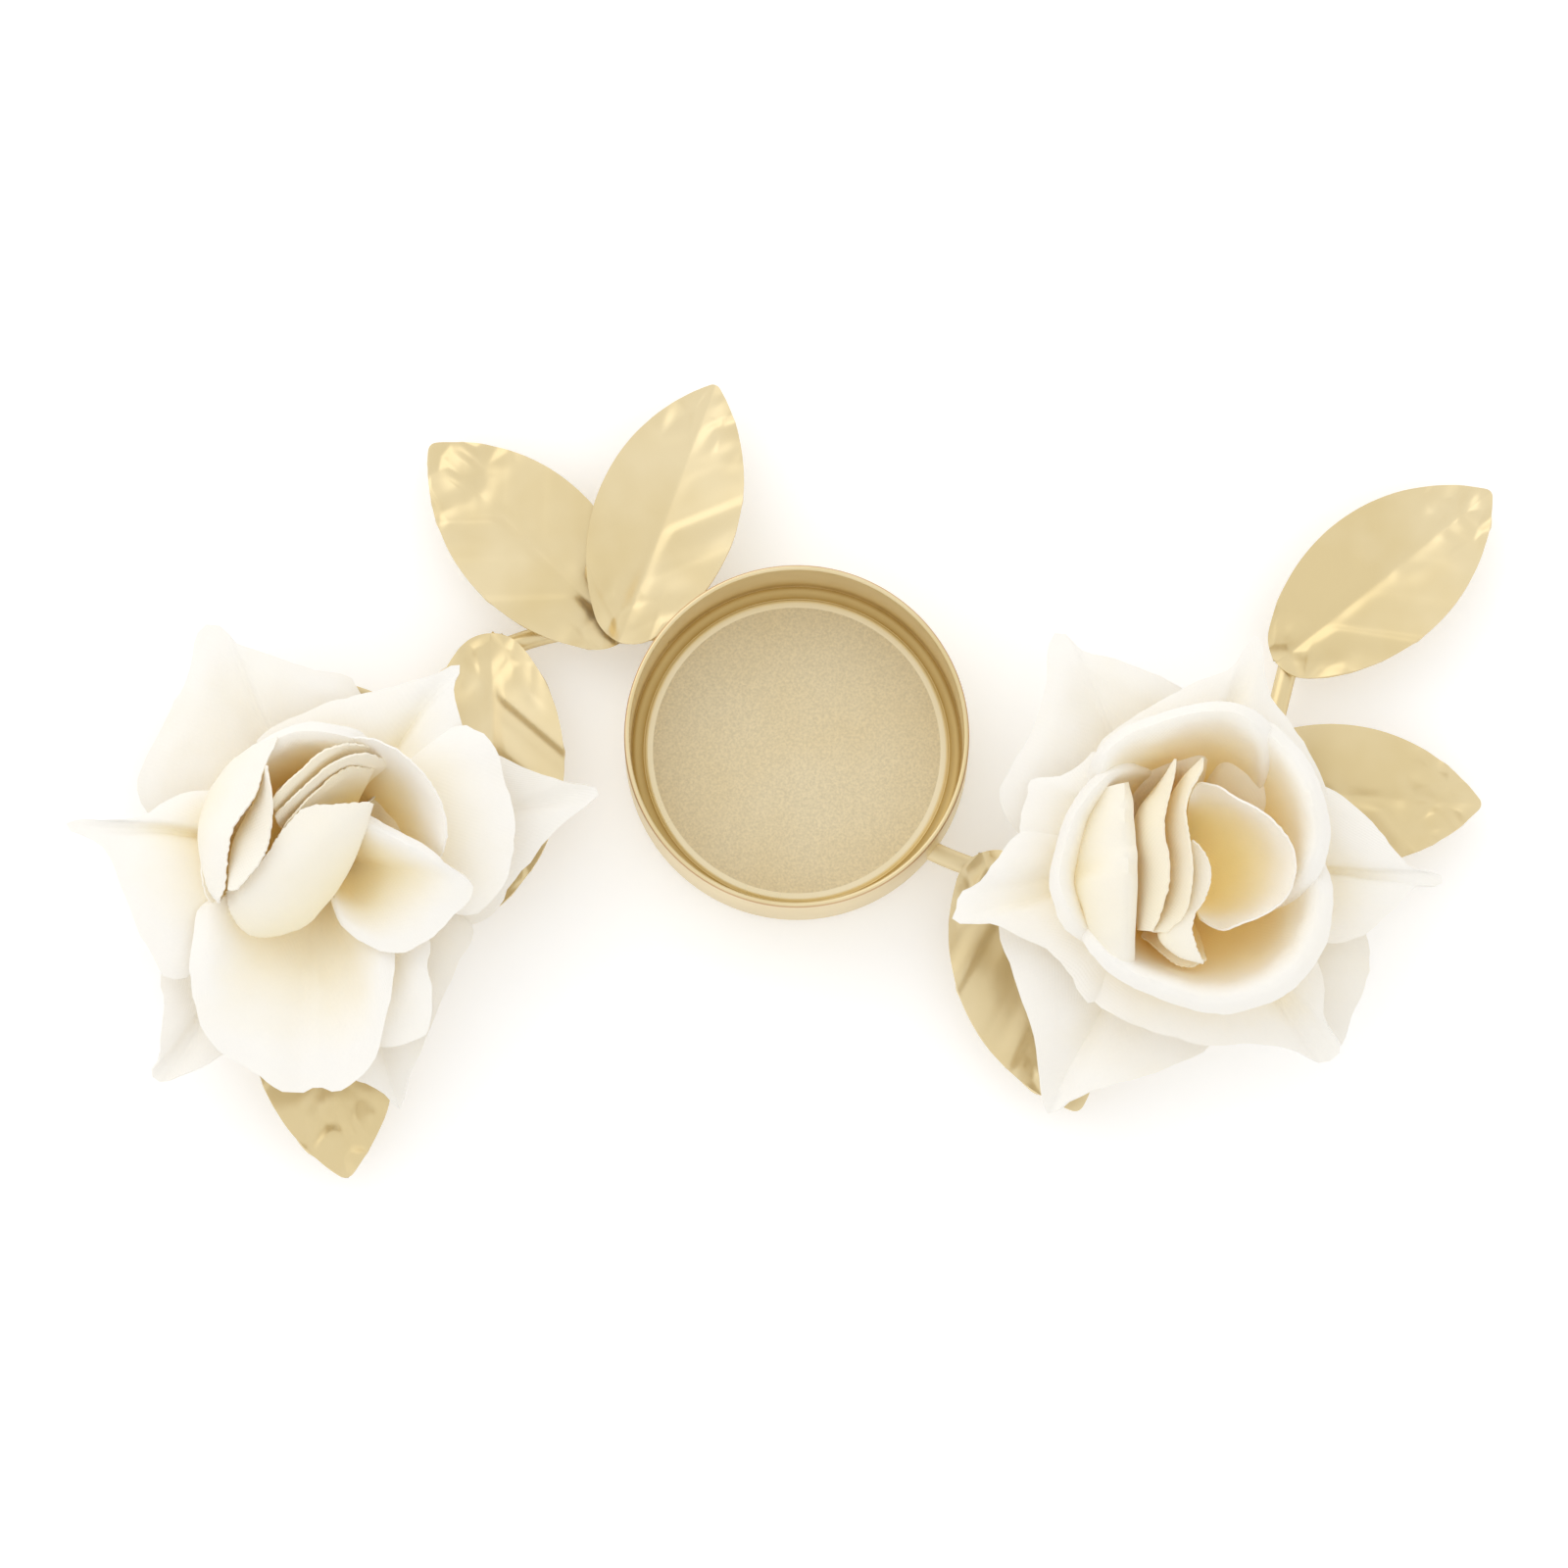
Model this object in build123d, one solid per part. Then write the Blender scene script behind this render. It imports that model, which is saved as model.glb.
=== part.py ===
from build123d import *
from math import cos, radians, sin, tan
import os

# A candle ring for one tea light: a pressed metal cup between two bent wires that carry
# pressed leaves and two cloth roses. Millimetres, +Z up, origin on the cup's axis at the table.

# Candle cup
cup_diameter = 43.0
cup_height = 16.0
cup_sheet = 0.7
cup_corner_radius = 1.1
panel_diameter = 37.8
panel_rise = 0.3

# Branch wires, welded to the cup's wall
wire_diameter = 2.5
wire_sides = 10
wire_height = 4.0
wire_lead = 4.0
weld_gap = 0.05
left_wall_angle = 138.3
left_wall_heading = 166.7
left_near_radius = 33.0
left_near_bend_angle = 31.3
left_far_radius = 40.0
left_far_bend_angle = 72.0
left_tail = 0.8
right_wall_angle = -37.5
right_wall_heading = -25.9
right_near_radius = 40.0
right_near_bend_angle = 35.9
right_far_radius = 22.0
right_far_bend_angle = 66.0
right_tail = 13.4

# Leaves, soldered on top of the wires
leaf_length = 34.6
leaf_width = 17.9
leaf_sheet = 0.5
leaf_base_round = 5.0
leaf_tip_round = 0.6
leaf_edge_chords = 7
leaf_arch = 0.9
leaf_dish = 1.0
vein_pairs = 5
vein_angle = 48.0
vein_depth = 0.35
leaf_overhang_length = 2.4
far_leaf_overhang_length = 5.6
crossed_leaf_lift = 2.1

# Post, calyx and peg under each rose
post_diameter = 2.5
post_height = 5.6
socket_clearance = 0.05
calyx_bottom = 2.6
calyx_top = 7.0
calyx_foot_diameter = 5.4
sepal_count = 5
sepal_reach = 8.5
sepal_sheet = 0.8
sepal_drop = 0.7
peg_width = 2.2
peg_sides = 6
peg_height = 13.0
peg_clearance = 0.08

# Rose petals, common to all the layers
petal_sheet = 0.4
hub_diameter = 8.0
hub_sides = 10
hub_gap = 0.1
hub_pitch = 1.2
hub_overlap = 1.2
petal_shingle_angle = 4.0
curl_chords = 2

# Outer petals, wide open
outer_reach = 34.0
outer_width = 28.0
outer_rise_angle = 17.0
outer_curl_start = 9.0
outer_curl_radius = 26.0
outer_curl_angle = 22.0
outer_fold_rise = 1.4

# Second petals, half open
second_reach = 32.0
second_width = 26.0
second_rise_angle = 36.0
second_curl_start = 7.5
second_curl_radius = 16.0
second_curl_angle = 40.0
second_fold_rise = 2.4

# Bowl petals, the cup of the rose
bowl_petal_count = 5
bowl_foot_diameter = 7.6
bowl_belly_diameter = 25.0
bowl_belly_height = 6.8
bowl_diameter = 34.0
bowl_height = 16.5
bowl_petal_angle = 92.0
bowl_offset = 0.95

# Inner petals
inner_petal_count = 3
inner_foot_diameter = 6.4
inner_belly_diameter = 14.0
inner_belly_height = 8.0
inner_diameter = 24.0
inner_height = 17.5
inner_petal_angle = 140.0
inner_offset = 0.9

# Heart petals, wrapped round the bud
heart_petal_count = 2
heart_foot_diameter = 4.6
heart_belly_diameter = 8.0
heart_belly_height = 8.0
heart_diameter = 12.0
heart_height = 15.5
heart_petal_angle = 130.0
heart_offset = 0.3

# Bud core, pushed on the peg
bud_diameter = 3.2
bud_taper_angle = 1.5
bud_height = 10.4
bud_sides = 10

# Shares that place the roses on the wires, and how the roses lean
left_rose_share = 0.832
right_rose_share = 0.483
left_rose_lean_angle = 3.0
left_rose_lean_heading = -50.0
right_rose_lean_angle = 6.0
right_rose_lean_heading = -64.0
left_heart_heading = -38.0
right_heart_heading = 4.0

# Breaks of the cup's pressed corner, from the wall down, as shares of its quarter turn
corner_break_shares = [0.0, 0.4, 1.0]

# Half outlines of the petals, from root to tip: shares of reach or height, and of half width
open_petal_shares = [(0.09, 0.16), (0.3, 0.8), (0.54, 1.0), (0.7, 0.74), (0.88, 0.2), (1.0, 0.07)]
cupped_petal_shares = [(0.0, 0.14), (0.46, 0.62), (0.75, 1.0), (0.92, 0.8), (1.0, 0.25)]
sepal_waist_share = 0.78

# Petal tips: heading in degrees and reach as a share of the layer's reach
left_outer_shares = [(14.5, 1.0), (116.5, 0.91), (175.0, 0.78), (233.4, 1.0), (285.3, 0.98)]
left_second_shares = [(25.0, 0.76), (54.7, 0.88), (174.2, 1.0), (262.0, 0.93), (303.0, 0.84)]
right_outer_shares = [(45.0, 0.79), (117.0, 0.95), (185.0, 0.79), (243.0, 1.0), (329.0, 0.81)]
right_second_shares = [(71.0, 0.91), (151.0, 0.74), (193.0, 0.88), (307.0, 0.95), (357.5, 1.0)]

# The left rose's bowl is open in front, where its fifth petal has lain down on the second layer
left_bowl_headings = [-22.0, 40.0, 103.0, 178.0]

# Leaves: place along the wire as a share of its run, and heading in degrees
left_leaf_shares = {
    "left_cup_lower_leaf": (0.104, 134.9),
    "left_cup_upper_leaf": (0.078, 69.6),
    "left_middle_leaf": (0.33, 271.0),
    "left_outer_leaf": (0.565, 194.0),
    "left_end_leaf": (0.96, 279.4),
}
right_leaf_shares = {
    "right_cup_leaf": (0.116, 290.3),
    "right_middle_leaf": (0.693, -3.0),
    "right_end_leaf": (0.984, 38.9),
}
leaf_overhangs = {"right_middle_leaf": far_leaf_overhang_length}
leaf_lifts = {"left_cup_upper_leaf": crossed_leaf_lift}


def at_heading(heading, length):
    """The plan vector of one length along one heading."""
    return Vector(length * cos(radians(heading)), length * sin(radians(heading)), 0)


def named(solid, name):
    """Write one node's STEP file and keep its name on the solid."""
    solid.label = name
    export_step(solid, os.path.join("parts", name + ".step"))
    return solid


def creased(strip, direction):
    """A bent sheet with a crease along XZ: one half carried out along a direction, and its mirror image."""
    half = Solid.extrude(strip.face(), direction)
    return half + mirror(half, about=Plane.XZ)


# Cup


def corner_points(centre, radius):
    """Points round a pressed corner, from the wall down to the floor."""
    return [Vector(*centre) + at_heading(-90 * share, radius) for share in corner_break_shares]


def candle_cup():
    """Pressed cup: wall, rounded corner, narrow foot ring and a floor panel raised off the table."""
    outside = cup_diameter / 2
    inside = outside - cup_sheet
    outer_corner = cup_corner_radius + cup_sheet
    centre = (outside - outer_corner, outer_corner)
    panel = panel_diameter / 2
    under_panel = panel - cup_sheet * tan(radians(45 / 2))
    shape = Polyline(
        (0, panel_rise),
        (under_panel, panel_rise),
        (under_panel + panel_rise, 0),
        *reversed(corner_points(centre, outer_corner)),
        (outside, cup_height),
        (inside, cup_height),
        *corner_points(centre, cup_corner_radius),
        (panel + panel_rise, cup_sheet),
        (panel, cup_sheet + panel_rise),
        (0, cup_sheet + panel_rise),
        close=True,
    )
    return revolve(Plane.XZ * make_face(shape), Axis.Z)


# Branches


def wire_run(wall_angle, wall_heading, bends, tail):
    """Centre line of one wire from the cup's wall outwards: tangent bends, then a straight tail."""
    start = at_heading(wall_angle, cup_diameter / 2) + Vector(0, 0, wire_height)
    direction = at_heading(wall_heading, 1)
    edges = []
    for radius, turn in bends:
        bend = JernArc(start, direction, radius, turn)
        edges.append(bend)
        start, direction = bend @ 1, bend % 1
    edges.append(Line(start, start + direction * tail))
    return Wire(edges)


def branch(run):
    """One wire, with a flat on top for its leaves, its near end coped to the cup's wall for the weld."""
    lead = Line(run @ 0 - (run % 0) * wire_lead, run @ 0)
    path = Wire([lead] + list(run.edges()))
    flat_turn = 360 / wire_sides / 2
    section = RegularPolygon(wire_diameter / 2, wire_sides, major_radius=False, rotation=flat_turn)
    wire = sweep(Plane(path @ 0, z_dir=path % 0) * section, path=path)
    return wire - Cylinder(cup_diameter / 2 + weld_gap, 2 * cup_height)


# Leaves


def leaf_crown(station):
    """Height of a leaf's arched crown at one station along its midrib."""
    middle = leaf_length / 2
    return leaf_arch * (1 - ((station - middle) / middle) ** 2)


def leaf_outline():
    """Flat outline of a leaf: two arcs in even chords, a round base and a tip just off sharp."""
    side_radius = ((leaf_length / 2) ** 2 + (leaf_width / 2) ** 2) / leaf_width
    corner_sine = (leaf_length / 2) / side_radius
    back = leaf_base_round * (1 / corner_sine - 1)
    front = leaf_length + leaf_tip_round * (1 / corner_sine - 1)
    middle = (front - back) / 2
    arc = ThreePointArc((-back, 0), (middle, leaf_width / 2), (front, 0))
    lens = make_face([arc, mirror(arc, about=Plane.XZ)])
    lens = fillet(lens.vertices().sort_by(Axis.X)[0], leaf_base_round)
    lens = fillet(lens.vertices().sort_by(Axis.X)[-1], leaf_tip_round)
    side = lens.edges().sort_by(Axis.Y)[-1]
    breaks = [side @ (k / leaf_edge_chords) for k in range(leaf_edge_chords + 1)]
    breaks.sort(key=lambda point: point.X)
    left = Polyline(*breaks)
    right = mirror(left, about=Plane.XZ)
    base = ThreePointArc(right @ 0, (0, 0), left @ 0)
    tip = ThreePointArc(left @ 1, (leaf_length, 0), right @ 1)
    return make_face([base, left, tip, right])


def leaf_blade():
    """One pressed leaf along +X from its base end: a midrib crease and pleats between its side veins."""
    reach_out = leaf_width / 2 + leaf_sheet
    lean = 1 / tan(radians(vein_angle))
    pleat = leaf_length / (2 * vein_pairs)
    first = -round(reach_out * lean / pleat) - 1
    stations = [(k * pleat, vein_depth * (k % 2)) for k in range(first, 2 * vein_pairs + 2)]
    top = [(x, leaf_crown(x) + pleat_rise) for x, pleat_rise in stations]
    bottom = [(x, z - leaf_sheet) for x, z in reversed(top)]
    strip = Plane.XZ * make_face(Polyline(*top, *bottom, close=True))
    blank = creased(strip, Vector(lean, 1, leaf_dish / reach_out) * reach_out)
    return blank & extrude(leaf_outline(), amount=leaf_width, both=True)


def placed_leaf(blade, run, name, share, heading):
    """A leaf soldered on top of a wire, at a share of the wire's run, pointing along a heading."""
    lift = leaf_lifts.get(name, 0)
    overhang = leaf_overhangs.get(name, leaf_overhang_length)
    seat = run @ share + Vector(0, 0, wire_diameter / 2 + weld_gap + leaf_sheet + lift)
    return Pos(*seat) * Rot(0, 0, heading) * Pos(-overhang, 0, 0) * blade


# Roses


def rose_frame(run, share, lean, lean_heading):
    """The frame of one rose: on the wire's centre, its axis leaning a little towards a heading."""
    return Pos(*(run @ share)) * Rot(0, 0, lean_heading) * Rot(0, lean, 0) * Rot(0, 0, -lean_heading)


def peg_section(clearance):
    """Section of the six-sided peg, or of the hole that it passes with a clearance."""
    return RegularPolygon(peg_width / 2 + clearance, peg_sides)


def post():
    """Stub of wire welded on top of the branch, which enters the calyx."""
    bottom = wire_diameter / 2 + weld_gap
    stub = Cylinder(post_diameter / 2, post_height - bottom, align=(Align.CENTER, Align.CENTER, Align.MIN))
    return Pos(0, 0, bottom) * stub


def sepal_star():
    """Outline of the pointed sepals round the calyx's collar."""
    pitch = 360 / sepal_count
    corners = []
    for k in range(sepal_count):
        corners.append(at_heading(k * pitch, sepal_reach))
        corners.append(at_heading((k + 0.5) * pitch, sepal_reach * sepal_waist_share / 2))
    return make_face(Polyline(*corners, close=True))


def calyx():
    """Moulded calyx: foot with a socket for the post, five sepals, a collar and the peg for the petals."""
    foot, collar = calyx_foot_diameter / 2, hub_diameter / 2
    socket = post_diameter / 2 + socket_clearance
    socket_top = post_height + socket_clearance
    sepal_top = calyx_top - sepal_drop
    shape = Polyline(
        (socket, calyx_bottom),
        (foot, calyx_bottom),
        (foot, sepal_top),
        (collar, sepal_top),
        (collar, calyx_top),
        (0, calyx_top),
        (0, socket_top),
        (socket, socket_top),
        close=True,
    )
    body = revolve(Plane.XZ * make_face(shape), Axis.Z)
    sepals = Pos(0, 0, sepal_top - sepal_sheet) * extrude(sepal_star(), amount=sepal_sheet)
    peg = Pos(0, 0, calyx_top) * extrude(peg_section(0), amount=peg_height)
    return body + (sepals - Cylinder(foot, 2 * calyx_top)) + peg


def hub(diameter):
    """Blank of the hub that joins the roots of a petal layer."""
    return extrude(RegularPolygon(diameter / 2, hub_sides), amount=petal_sheet)


def pierced(layer):
    """A petal layer or core with its hole for the peg."""
    return layer - extrude(peg_section(peg_clearance), amount=2 * peg_height, both=True)


def bent_strip(points):
    """Side view of one sheet: a chain of points from the hub outwards, given the sheet's thickness."""
    spine = Wire(Polyline(*points).edges())
    return Plane.XZ * make_face(spine.offset_2d(petal_sheet, kind=Kind.INTERSECTION, side=Side.LEFT))


def petal_blank(half_shares, reach, half_width):
    """Flat outline of a petal, mirrored from the shares of its one side."""
    right = [(reach * along, half_width * across) for along, across in half_shares]
    left = [(x, -y) for x, y in reversed(right)]
    return make_face(Polyline(*right, *left, close=True))


def open_profile(reach, rise_angle, curl_start, curl_radius, curl_angle):
    """Side view of an open petal: flat on its hub, a straight rise, then a curl in even chords."""
    edge = hub_diameter / 2
    points = [Vector(edge - hub_overlap, 0), Vector(edge, 0)]
    points.append(points[-1] + at_heading(rise_angle, curl_start))
    turn = curl_angle / curl_chords
    chord = 2 * curl_radius * sin(radians(turn / 2))
    for k in range(curl_chords):
        points.append(points[-1] + at_heading(rise_angle - (k + 0.5) * turn, chord))
    points.append(points[-1] + at_heading(rise_angle - curl_angle, reach))
    return bent_strip(points)


def open_layer(tip_shares, reach, width, fold_rise, profile):
    """A layer of open petals, each with its own heading and reach, shingled round one hub."""
    band = creased(profile, Vector(0, width / 2, fold_rise))
    layer = hub(hub_diameter)
    for heading, reach_share in tip_shares:
        outline = petal_blank(open_petal_shares, reach * reach_share, width / 2)
        petal = band & extrude(outline, amount=2 * reach, both=True)
        layer += Rot(0, 0, heading) * Rot(petal_shingle_angle, 0, 0) * petal
    return pierced(layer)


def even_headings(count, first):
    """Headings of petals set evenly round their hub."""
    return [first + k * 360 / count for k in range(count)]


def cupped_layer(headings, foot, belly, belly_height, top, height, petal_angle, offset):
    """A layer of upright petals folded round the axis, each set off sideways to lap over the next."""
    points = [
        (foot / 2 - hub_overlap, 0),
        (foot / 2, 0),
        (belly / 2, belly_height),
        (top / 2, height),
    ]
    half_width = top / 2 * sin(radians(petal_angle / 2))
    wrap = top / 2 * (1 - cos(radians(petal_angle / 2)))
    band = creased(bent_strip(points), Vector(-wrap, half_width, 0))
    upright = Plane((0, 0, 0), x_dir=(0, 0, 1), z_dir=(1, 0, 0))
    outline = petal_blank(cupped_petal_shares, height, half_width)
    petal = band & extrude(upright * outline, amount=top, both=True)
    layer = hub(foot)
    for heading in headings:
        layer += Rot(0, 0, heading) * Pos(0, offset, 0) * petal
    return pierced(layer)


def bud():
    """Bud core: a blunt tapered plug, pierced for the peg."""
    section = RegularPolygon(bud_diameter / 2, bud_sides)
    return pierced(extrude(section, amount=bud_height, taper=bud_taper_angle))


def rose(side, frame, outer_shares, second_shares, bowl_headings, heart_heading):
    """All the pieces of one rose, each written as its own node, from the post up."""
    outer_profile = open_profile(
        outer_reach, outer_rise_angle, outer_curl_start, outer_curl_radius, outer_curl_angle
    )
    second_profile = open_profile(
        second_reach, second_rise_angle, second_curl_start, second_curl_radius, second_curl_angle
    )
    layers = {
        "outer": open_layer(outer_shares, outer_reach, outer_width, outer_fold_rise, outer_profile),
        "second": open_layer(second_shares, second_reach, second_width, second_fold_rise, second_profile),
        "bowl": cupped_layer(
            bowl_headings, bowl_foot_diameter, bowl_belly_diameter, bowl_belly_height,
            bowl_diameter, bowl_height, bowl_petal_angle, bowl_offset,
        ),
        "inner": cupped_layer(
            even_headings(inner_petal_count, heart_heading), inner_foot_diameter, inner_belly_diameter,
            inner_belly_height, inner_diameter, inner_height, inner_petal_angle, inner_offset,
        ),
        "heart": cupped_layer(
            even_headings(heart_petal_count, heart_heading), heart_foot_diameter, heart_belly_diameter,
            heart_belly_height, heart_diameter, heart_height, heart_petal_angle, heart_offset,
        ),
    }
    pieces = [
        named(frame * post(), f"{side}_rose_post"),
        named(frame * calyx(), f"{side}_rose_calyx"),
    ]
    level = calyx_top + hub_gap
    for name, layer in layers.items():
        pieces.append(named(frame * Pos(0, 0, level) * layer, f"{side}_rose_{name}_petals"))
        level += hub_pitch
    bud_seat = level - hub_pitch + petal_sheet + hub_gap
    pieces.append(named(frame * Pos(0, 0, bud_seat) * bud(), f"{side}_rose_bud"))
    return pieces


# Assembly

os.makedirs("parts", exist_ok=True)

left_run = wire_run(
    left_wall_angle,
    left_wall_heading,
    [(left_near_radius, left_near_bend_angle), (left_far_radius, left_far_bend_angle)],
    left_tail,
)
right_run = wire_run(
    right_wall_angle,
    right_wall_heading,
    [(right_near_radius, right_near_bend_angle), (right_far_radius, right_far_bend_angle)],
    right_tail,
)

pieces = [
    named(candle_cup(), "candle_cup"),
    named(branch(left_run), "left_branch"),
    named(branch(right_run), "right_branch"),
]

leaf = leaf_blade()
for run, leaf_shares in ((left_run, left_leaf_shares), (right_run, right_leaf_shares)):
    for name, (share, heading) in leaf_shares.items():
        pieces.append(named(placed_leaf(leaf, run, name, share, heading), name))

left_frame = rose_frame(left_run, left_rose_share, left_rose_lean_angle, left_rose_lean_heading)
right_frame = rose_frame(right_run, right_rose_share, right_rose_lean_angle, right_rose_lean_heading)
right_bowl_headings = even_headings(bowl_petal_count, right_heart_heading)
pieces += rose(
    "left", left_frame, left_outer_shares, left_second_shares, left_bowl_headings, left_heart_heading
)
pieces += rose(
    "right", right_frame, right_outer_shares, right_second_shares, right_bowl_headings, right_heart_heading
)
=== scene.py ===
"""A candle ring: a pressed gold cup between two bent wires with pressed leaves and two cloth roses.

Every piece stands where its CAD node stands. Lengths are written in millimetres and turned to metres by MM.
"""

import logging
import math
import random
from collections.abc import Sequence
from dataclasses import dataclass
from enum import Enum

import bmesh
import bpy
from mathutils import Matrix, Vector, geometry, noise


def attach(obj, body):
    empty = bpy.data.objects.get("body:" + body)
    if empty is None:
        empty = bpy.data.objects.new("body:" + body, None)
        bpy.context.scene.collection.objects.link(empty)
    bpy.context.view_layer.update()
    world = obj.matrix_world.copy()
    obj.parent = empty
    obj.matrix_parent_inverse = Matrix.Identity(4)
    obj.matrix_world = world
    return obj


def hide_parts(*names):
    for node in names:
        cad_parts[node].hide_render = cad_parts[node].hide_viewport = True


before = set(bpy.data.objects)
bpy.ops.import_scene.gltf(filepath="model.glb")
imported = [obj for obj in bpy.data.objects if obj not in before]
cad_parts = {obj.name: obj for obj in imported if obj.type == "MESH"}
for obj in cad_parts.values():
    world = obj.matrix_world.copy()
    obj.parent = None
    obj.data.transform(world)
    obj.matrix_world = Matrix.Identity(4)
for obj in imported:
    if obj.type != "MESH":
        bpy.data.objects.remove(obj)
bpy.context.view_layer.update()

MM = 0.001
UP = (0.0, 0.0, 1.0)
LOG = logging.getLogger("candle_ring")

Spot = tuple[float, float, float]
Row = tuple[Spot, ...]
Pair = tuple[float, float]
Material = bpy.types.Material
Shell = bmesh.types.BMesh


class Slot(Enum):
    """Slot names for what the scene makes anew. No piece is given one in this script."""

    GOLD = "gold_metal"
    CLOTH = "petal_cloth"


# The photograph's view


@dataclass(frozen=True)
class PhotoView:
    """The photograph's viewpoint: straight above, tipped a little towards the front, through a long lens."""

    pixel: float = 0.122 * MM
    tilt: float = math.radians(6.7)
    distance: float = 2000 * MM
    target: Spot = (-1.586 * MM, -6.019 * MM, 16 * MM)
    middle: float = 800.0
    sensor: float = 36.0
    clip: Pair = (100 * MM, 20000 * MM)

    def place(self, across: float, down: float, height: float) -> Vector:
        """Find the point at a known height that the photograph shows at one pixel.

        Args:
            across: Pixel column, from the left.
            down: Pixel row, from the top.
            height: Height above the table, in millimetres.

        Returns:
            The point in metres, in the object's frame.
        """
        side = (across - self.middle) * self.pixel / self.distance
        up = (self.middle - down) * self.pixel / self.distance
        rise = height * MM - self.target[2]
        cosine, sine = math.cos(self.tilt), math.sin(self.tilt)
        back = (up * self.distance - rise * (up * cosine + sine)) / (cosine - up * sine)
        depth = self.distance + back * sine - rise * cosine
        return Vector((self.target[0] + side * depth, self.target[1] + back, height * MM))

    def make_camera(self) -> None:
        """Set the scene's camera at the photograph's viewpoint."""
        data = bpy.data.cameras.new("photo_camera")
        data.sensor_width = self.sensor
        data.lens = self.sensor * self.distance / (2 * self.middle * self.pixel)
        data.clip_start, data.clip_end = self.clip
        camera = add_object("photo_camera", data)
        away = Vector((0.0, -math.sin(self.tilt), math.cos(self.tilt)))
        camera.location = Vector(self.target) + away * self.distance
        camera.rotation_euler = (self.tilt, 0.0, 0.0)
        bpy.context.scene.camera = camera


VIEW = PhotoView()


# Finishes

# A noise texture's values hardly leave the wide range. The narrow one gives more contrast
WIDE_NOISE = {"From_Min": 0.3, "From_Max": 0.7}
NARROW_NOISE = {"From_Min": 0.35, "From_Max": 0.65}


def linear(code: str) -> tuple[float, float, float, float]:
    """Turn an sRGB hex colour to the linear colour that a shader takes.

    Args:
        code: Six hex digits.

    Returns:
        Linear red, green, blue and an alpha of one.
    """
    shares = [int(code[k : k + 2], 16) / 255 for k in (0, 2, 4)]
    turned = [s / 12.92 if s <= 0.04045 else ((s + 0.055) / 1.055) ** 2.4 for s in shares]
    return (turned[0], turned[1], turned[2], 1.0)


def node(
    tree: bpy.types.NodeTree, kind: str, settings: dict[str, object] | None = None, **inputs: object
) -> bpy.types.Node:
    """Add one shader node with its settings, input values and links.

    Args:
        tree: The material's or world's node tree.
        kind: The node's type name, without ShaderNode in front.
        settings: Properties of the node itself.
        inputs: A value, a socket, or a node for its first output. Each is named as the input that takes it,
            with underscores, or by that input's place: in_0, in_1.

    Returns:
        The new node.
    """
    made = tree.nodes.new("ShaderNode" + kind)
    for name, value in (settings or {}).items():
        setattr(made, name, value)
    for name, value in inputs.items():
        key = int(name[3:]) if name.startswith("in_") else name.replace("_", " ")
        if isinstance(value, bpy.types.Node):
            value = value.outputs[0]
        if isinstance(value, bpy.types.NodeSocket):
            tree.links.new(value, made.inputs[key])
        else:
            made.inputs[key].default_value = value
    return made


def blank_material(name: str) -> tuple[Material, bpy.types.NodeTree]:
    """Make a material with an empty node tree.

    Args:
        name: The material's name.

    Returns:
        The material and its tree.
    """
    material = bpy.data.materials.new(name)
    material.use_nodes = True
    material.node_tree.nodes.clear()
    return material, material.node_tree


@dataclass(frozen=True)
class LacqueredSteel:
    """Pressed steel under a champagne gold lacquer.

    It gives the eye soft satin lights over a faint cloudiness, and never a mirror.
    """

    name: str
    light: str
    deep: str
    roughness: float
    smoother: float = 0.04
    rougher: float = 0.05
    metallic: float = 0.9
    cloud: float = 14 * MM
    grit: float = 0.25 * MM
    grit_depth: float = 0.004 * MM
    speckle: float = 0.0

    def make(self) -> Material:
        """Build the node material.

        Returns:
            The material.
        """
        material, tree = blank_material(self.name)
        place = node(tree, "TexCoord").outputs["Object"]
        cloud = node(tree, "TexNoise", Vector=place, Scale=1 / self.cloud, Detail=3.0)
        grit = node(tree, "TexNoise", Vector=place, Scale=1 / self.grit, Detail=2.0)
        tone = node(tree, "MapRange", Value=cloud, **NARROW_NOISE)
        colour = node(
            tree, "Mix", {"data_type": "RGBA"}, Factor=tone, in_6=linear(self.deep), in_7=linear(self.light)
        )
        rough = node(
            tree, "MapRange", Value=cloud, **WIDE_NOISE, To_Min=self.roughness - self.smoother,
            To_Max=self.roughness + self.rougher,
        )
        bump = node(tree, "Bump", Height=grit, Strength=0.35, Distance=self.grit_depth)
        speck = node(
            tree, "MapRange", Value=grit, **WIDE_NOISE, To_Min=1 - self.speckle, To_Max=1 + self.speckle
        )
        grained = node(tree, "VectorMath", {"operation": "SCALE"}, in_0=colour.outputs[2], Scale=speck)
        shader = node(
            tree, "BsdfPrincipled", Base_Color=grained, Metallic=self.metallic, Roughness=rough, Normal=bump
        )
        node(tree, "OutputMaterial", Surface=shader)
        return material


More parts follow.
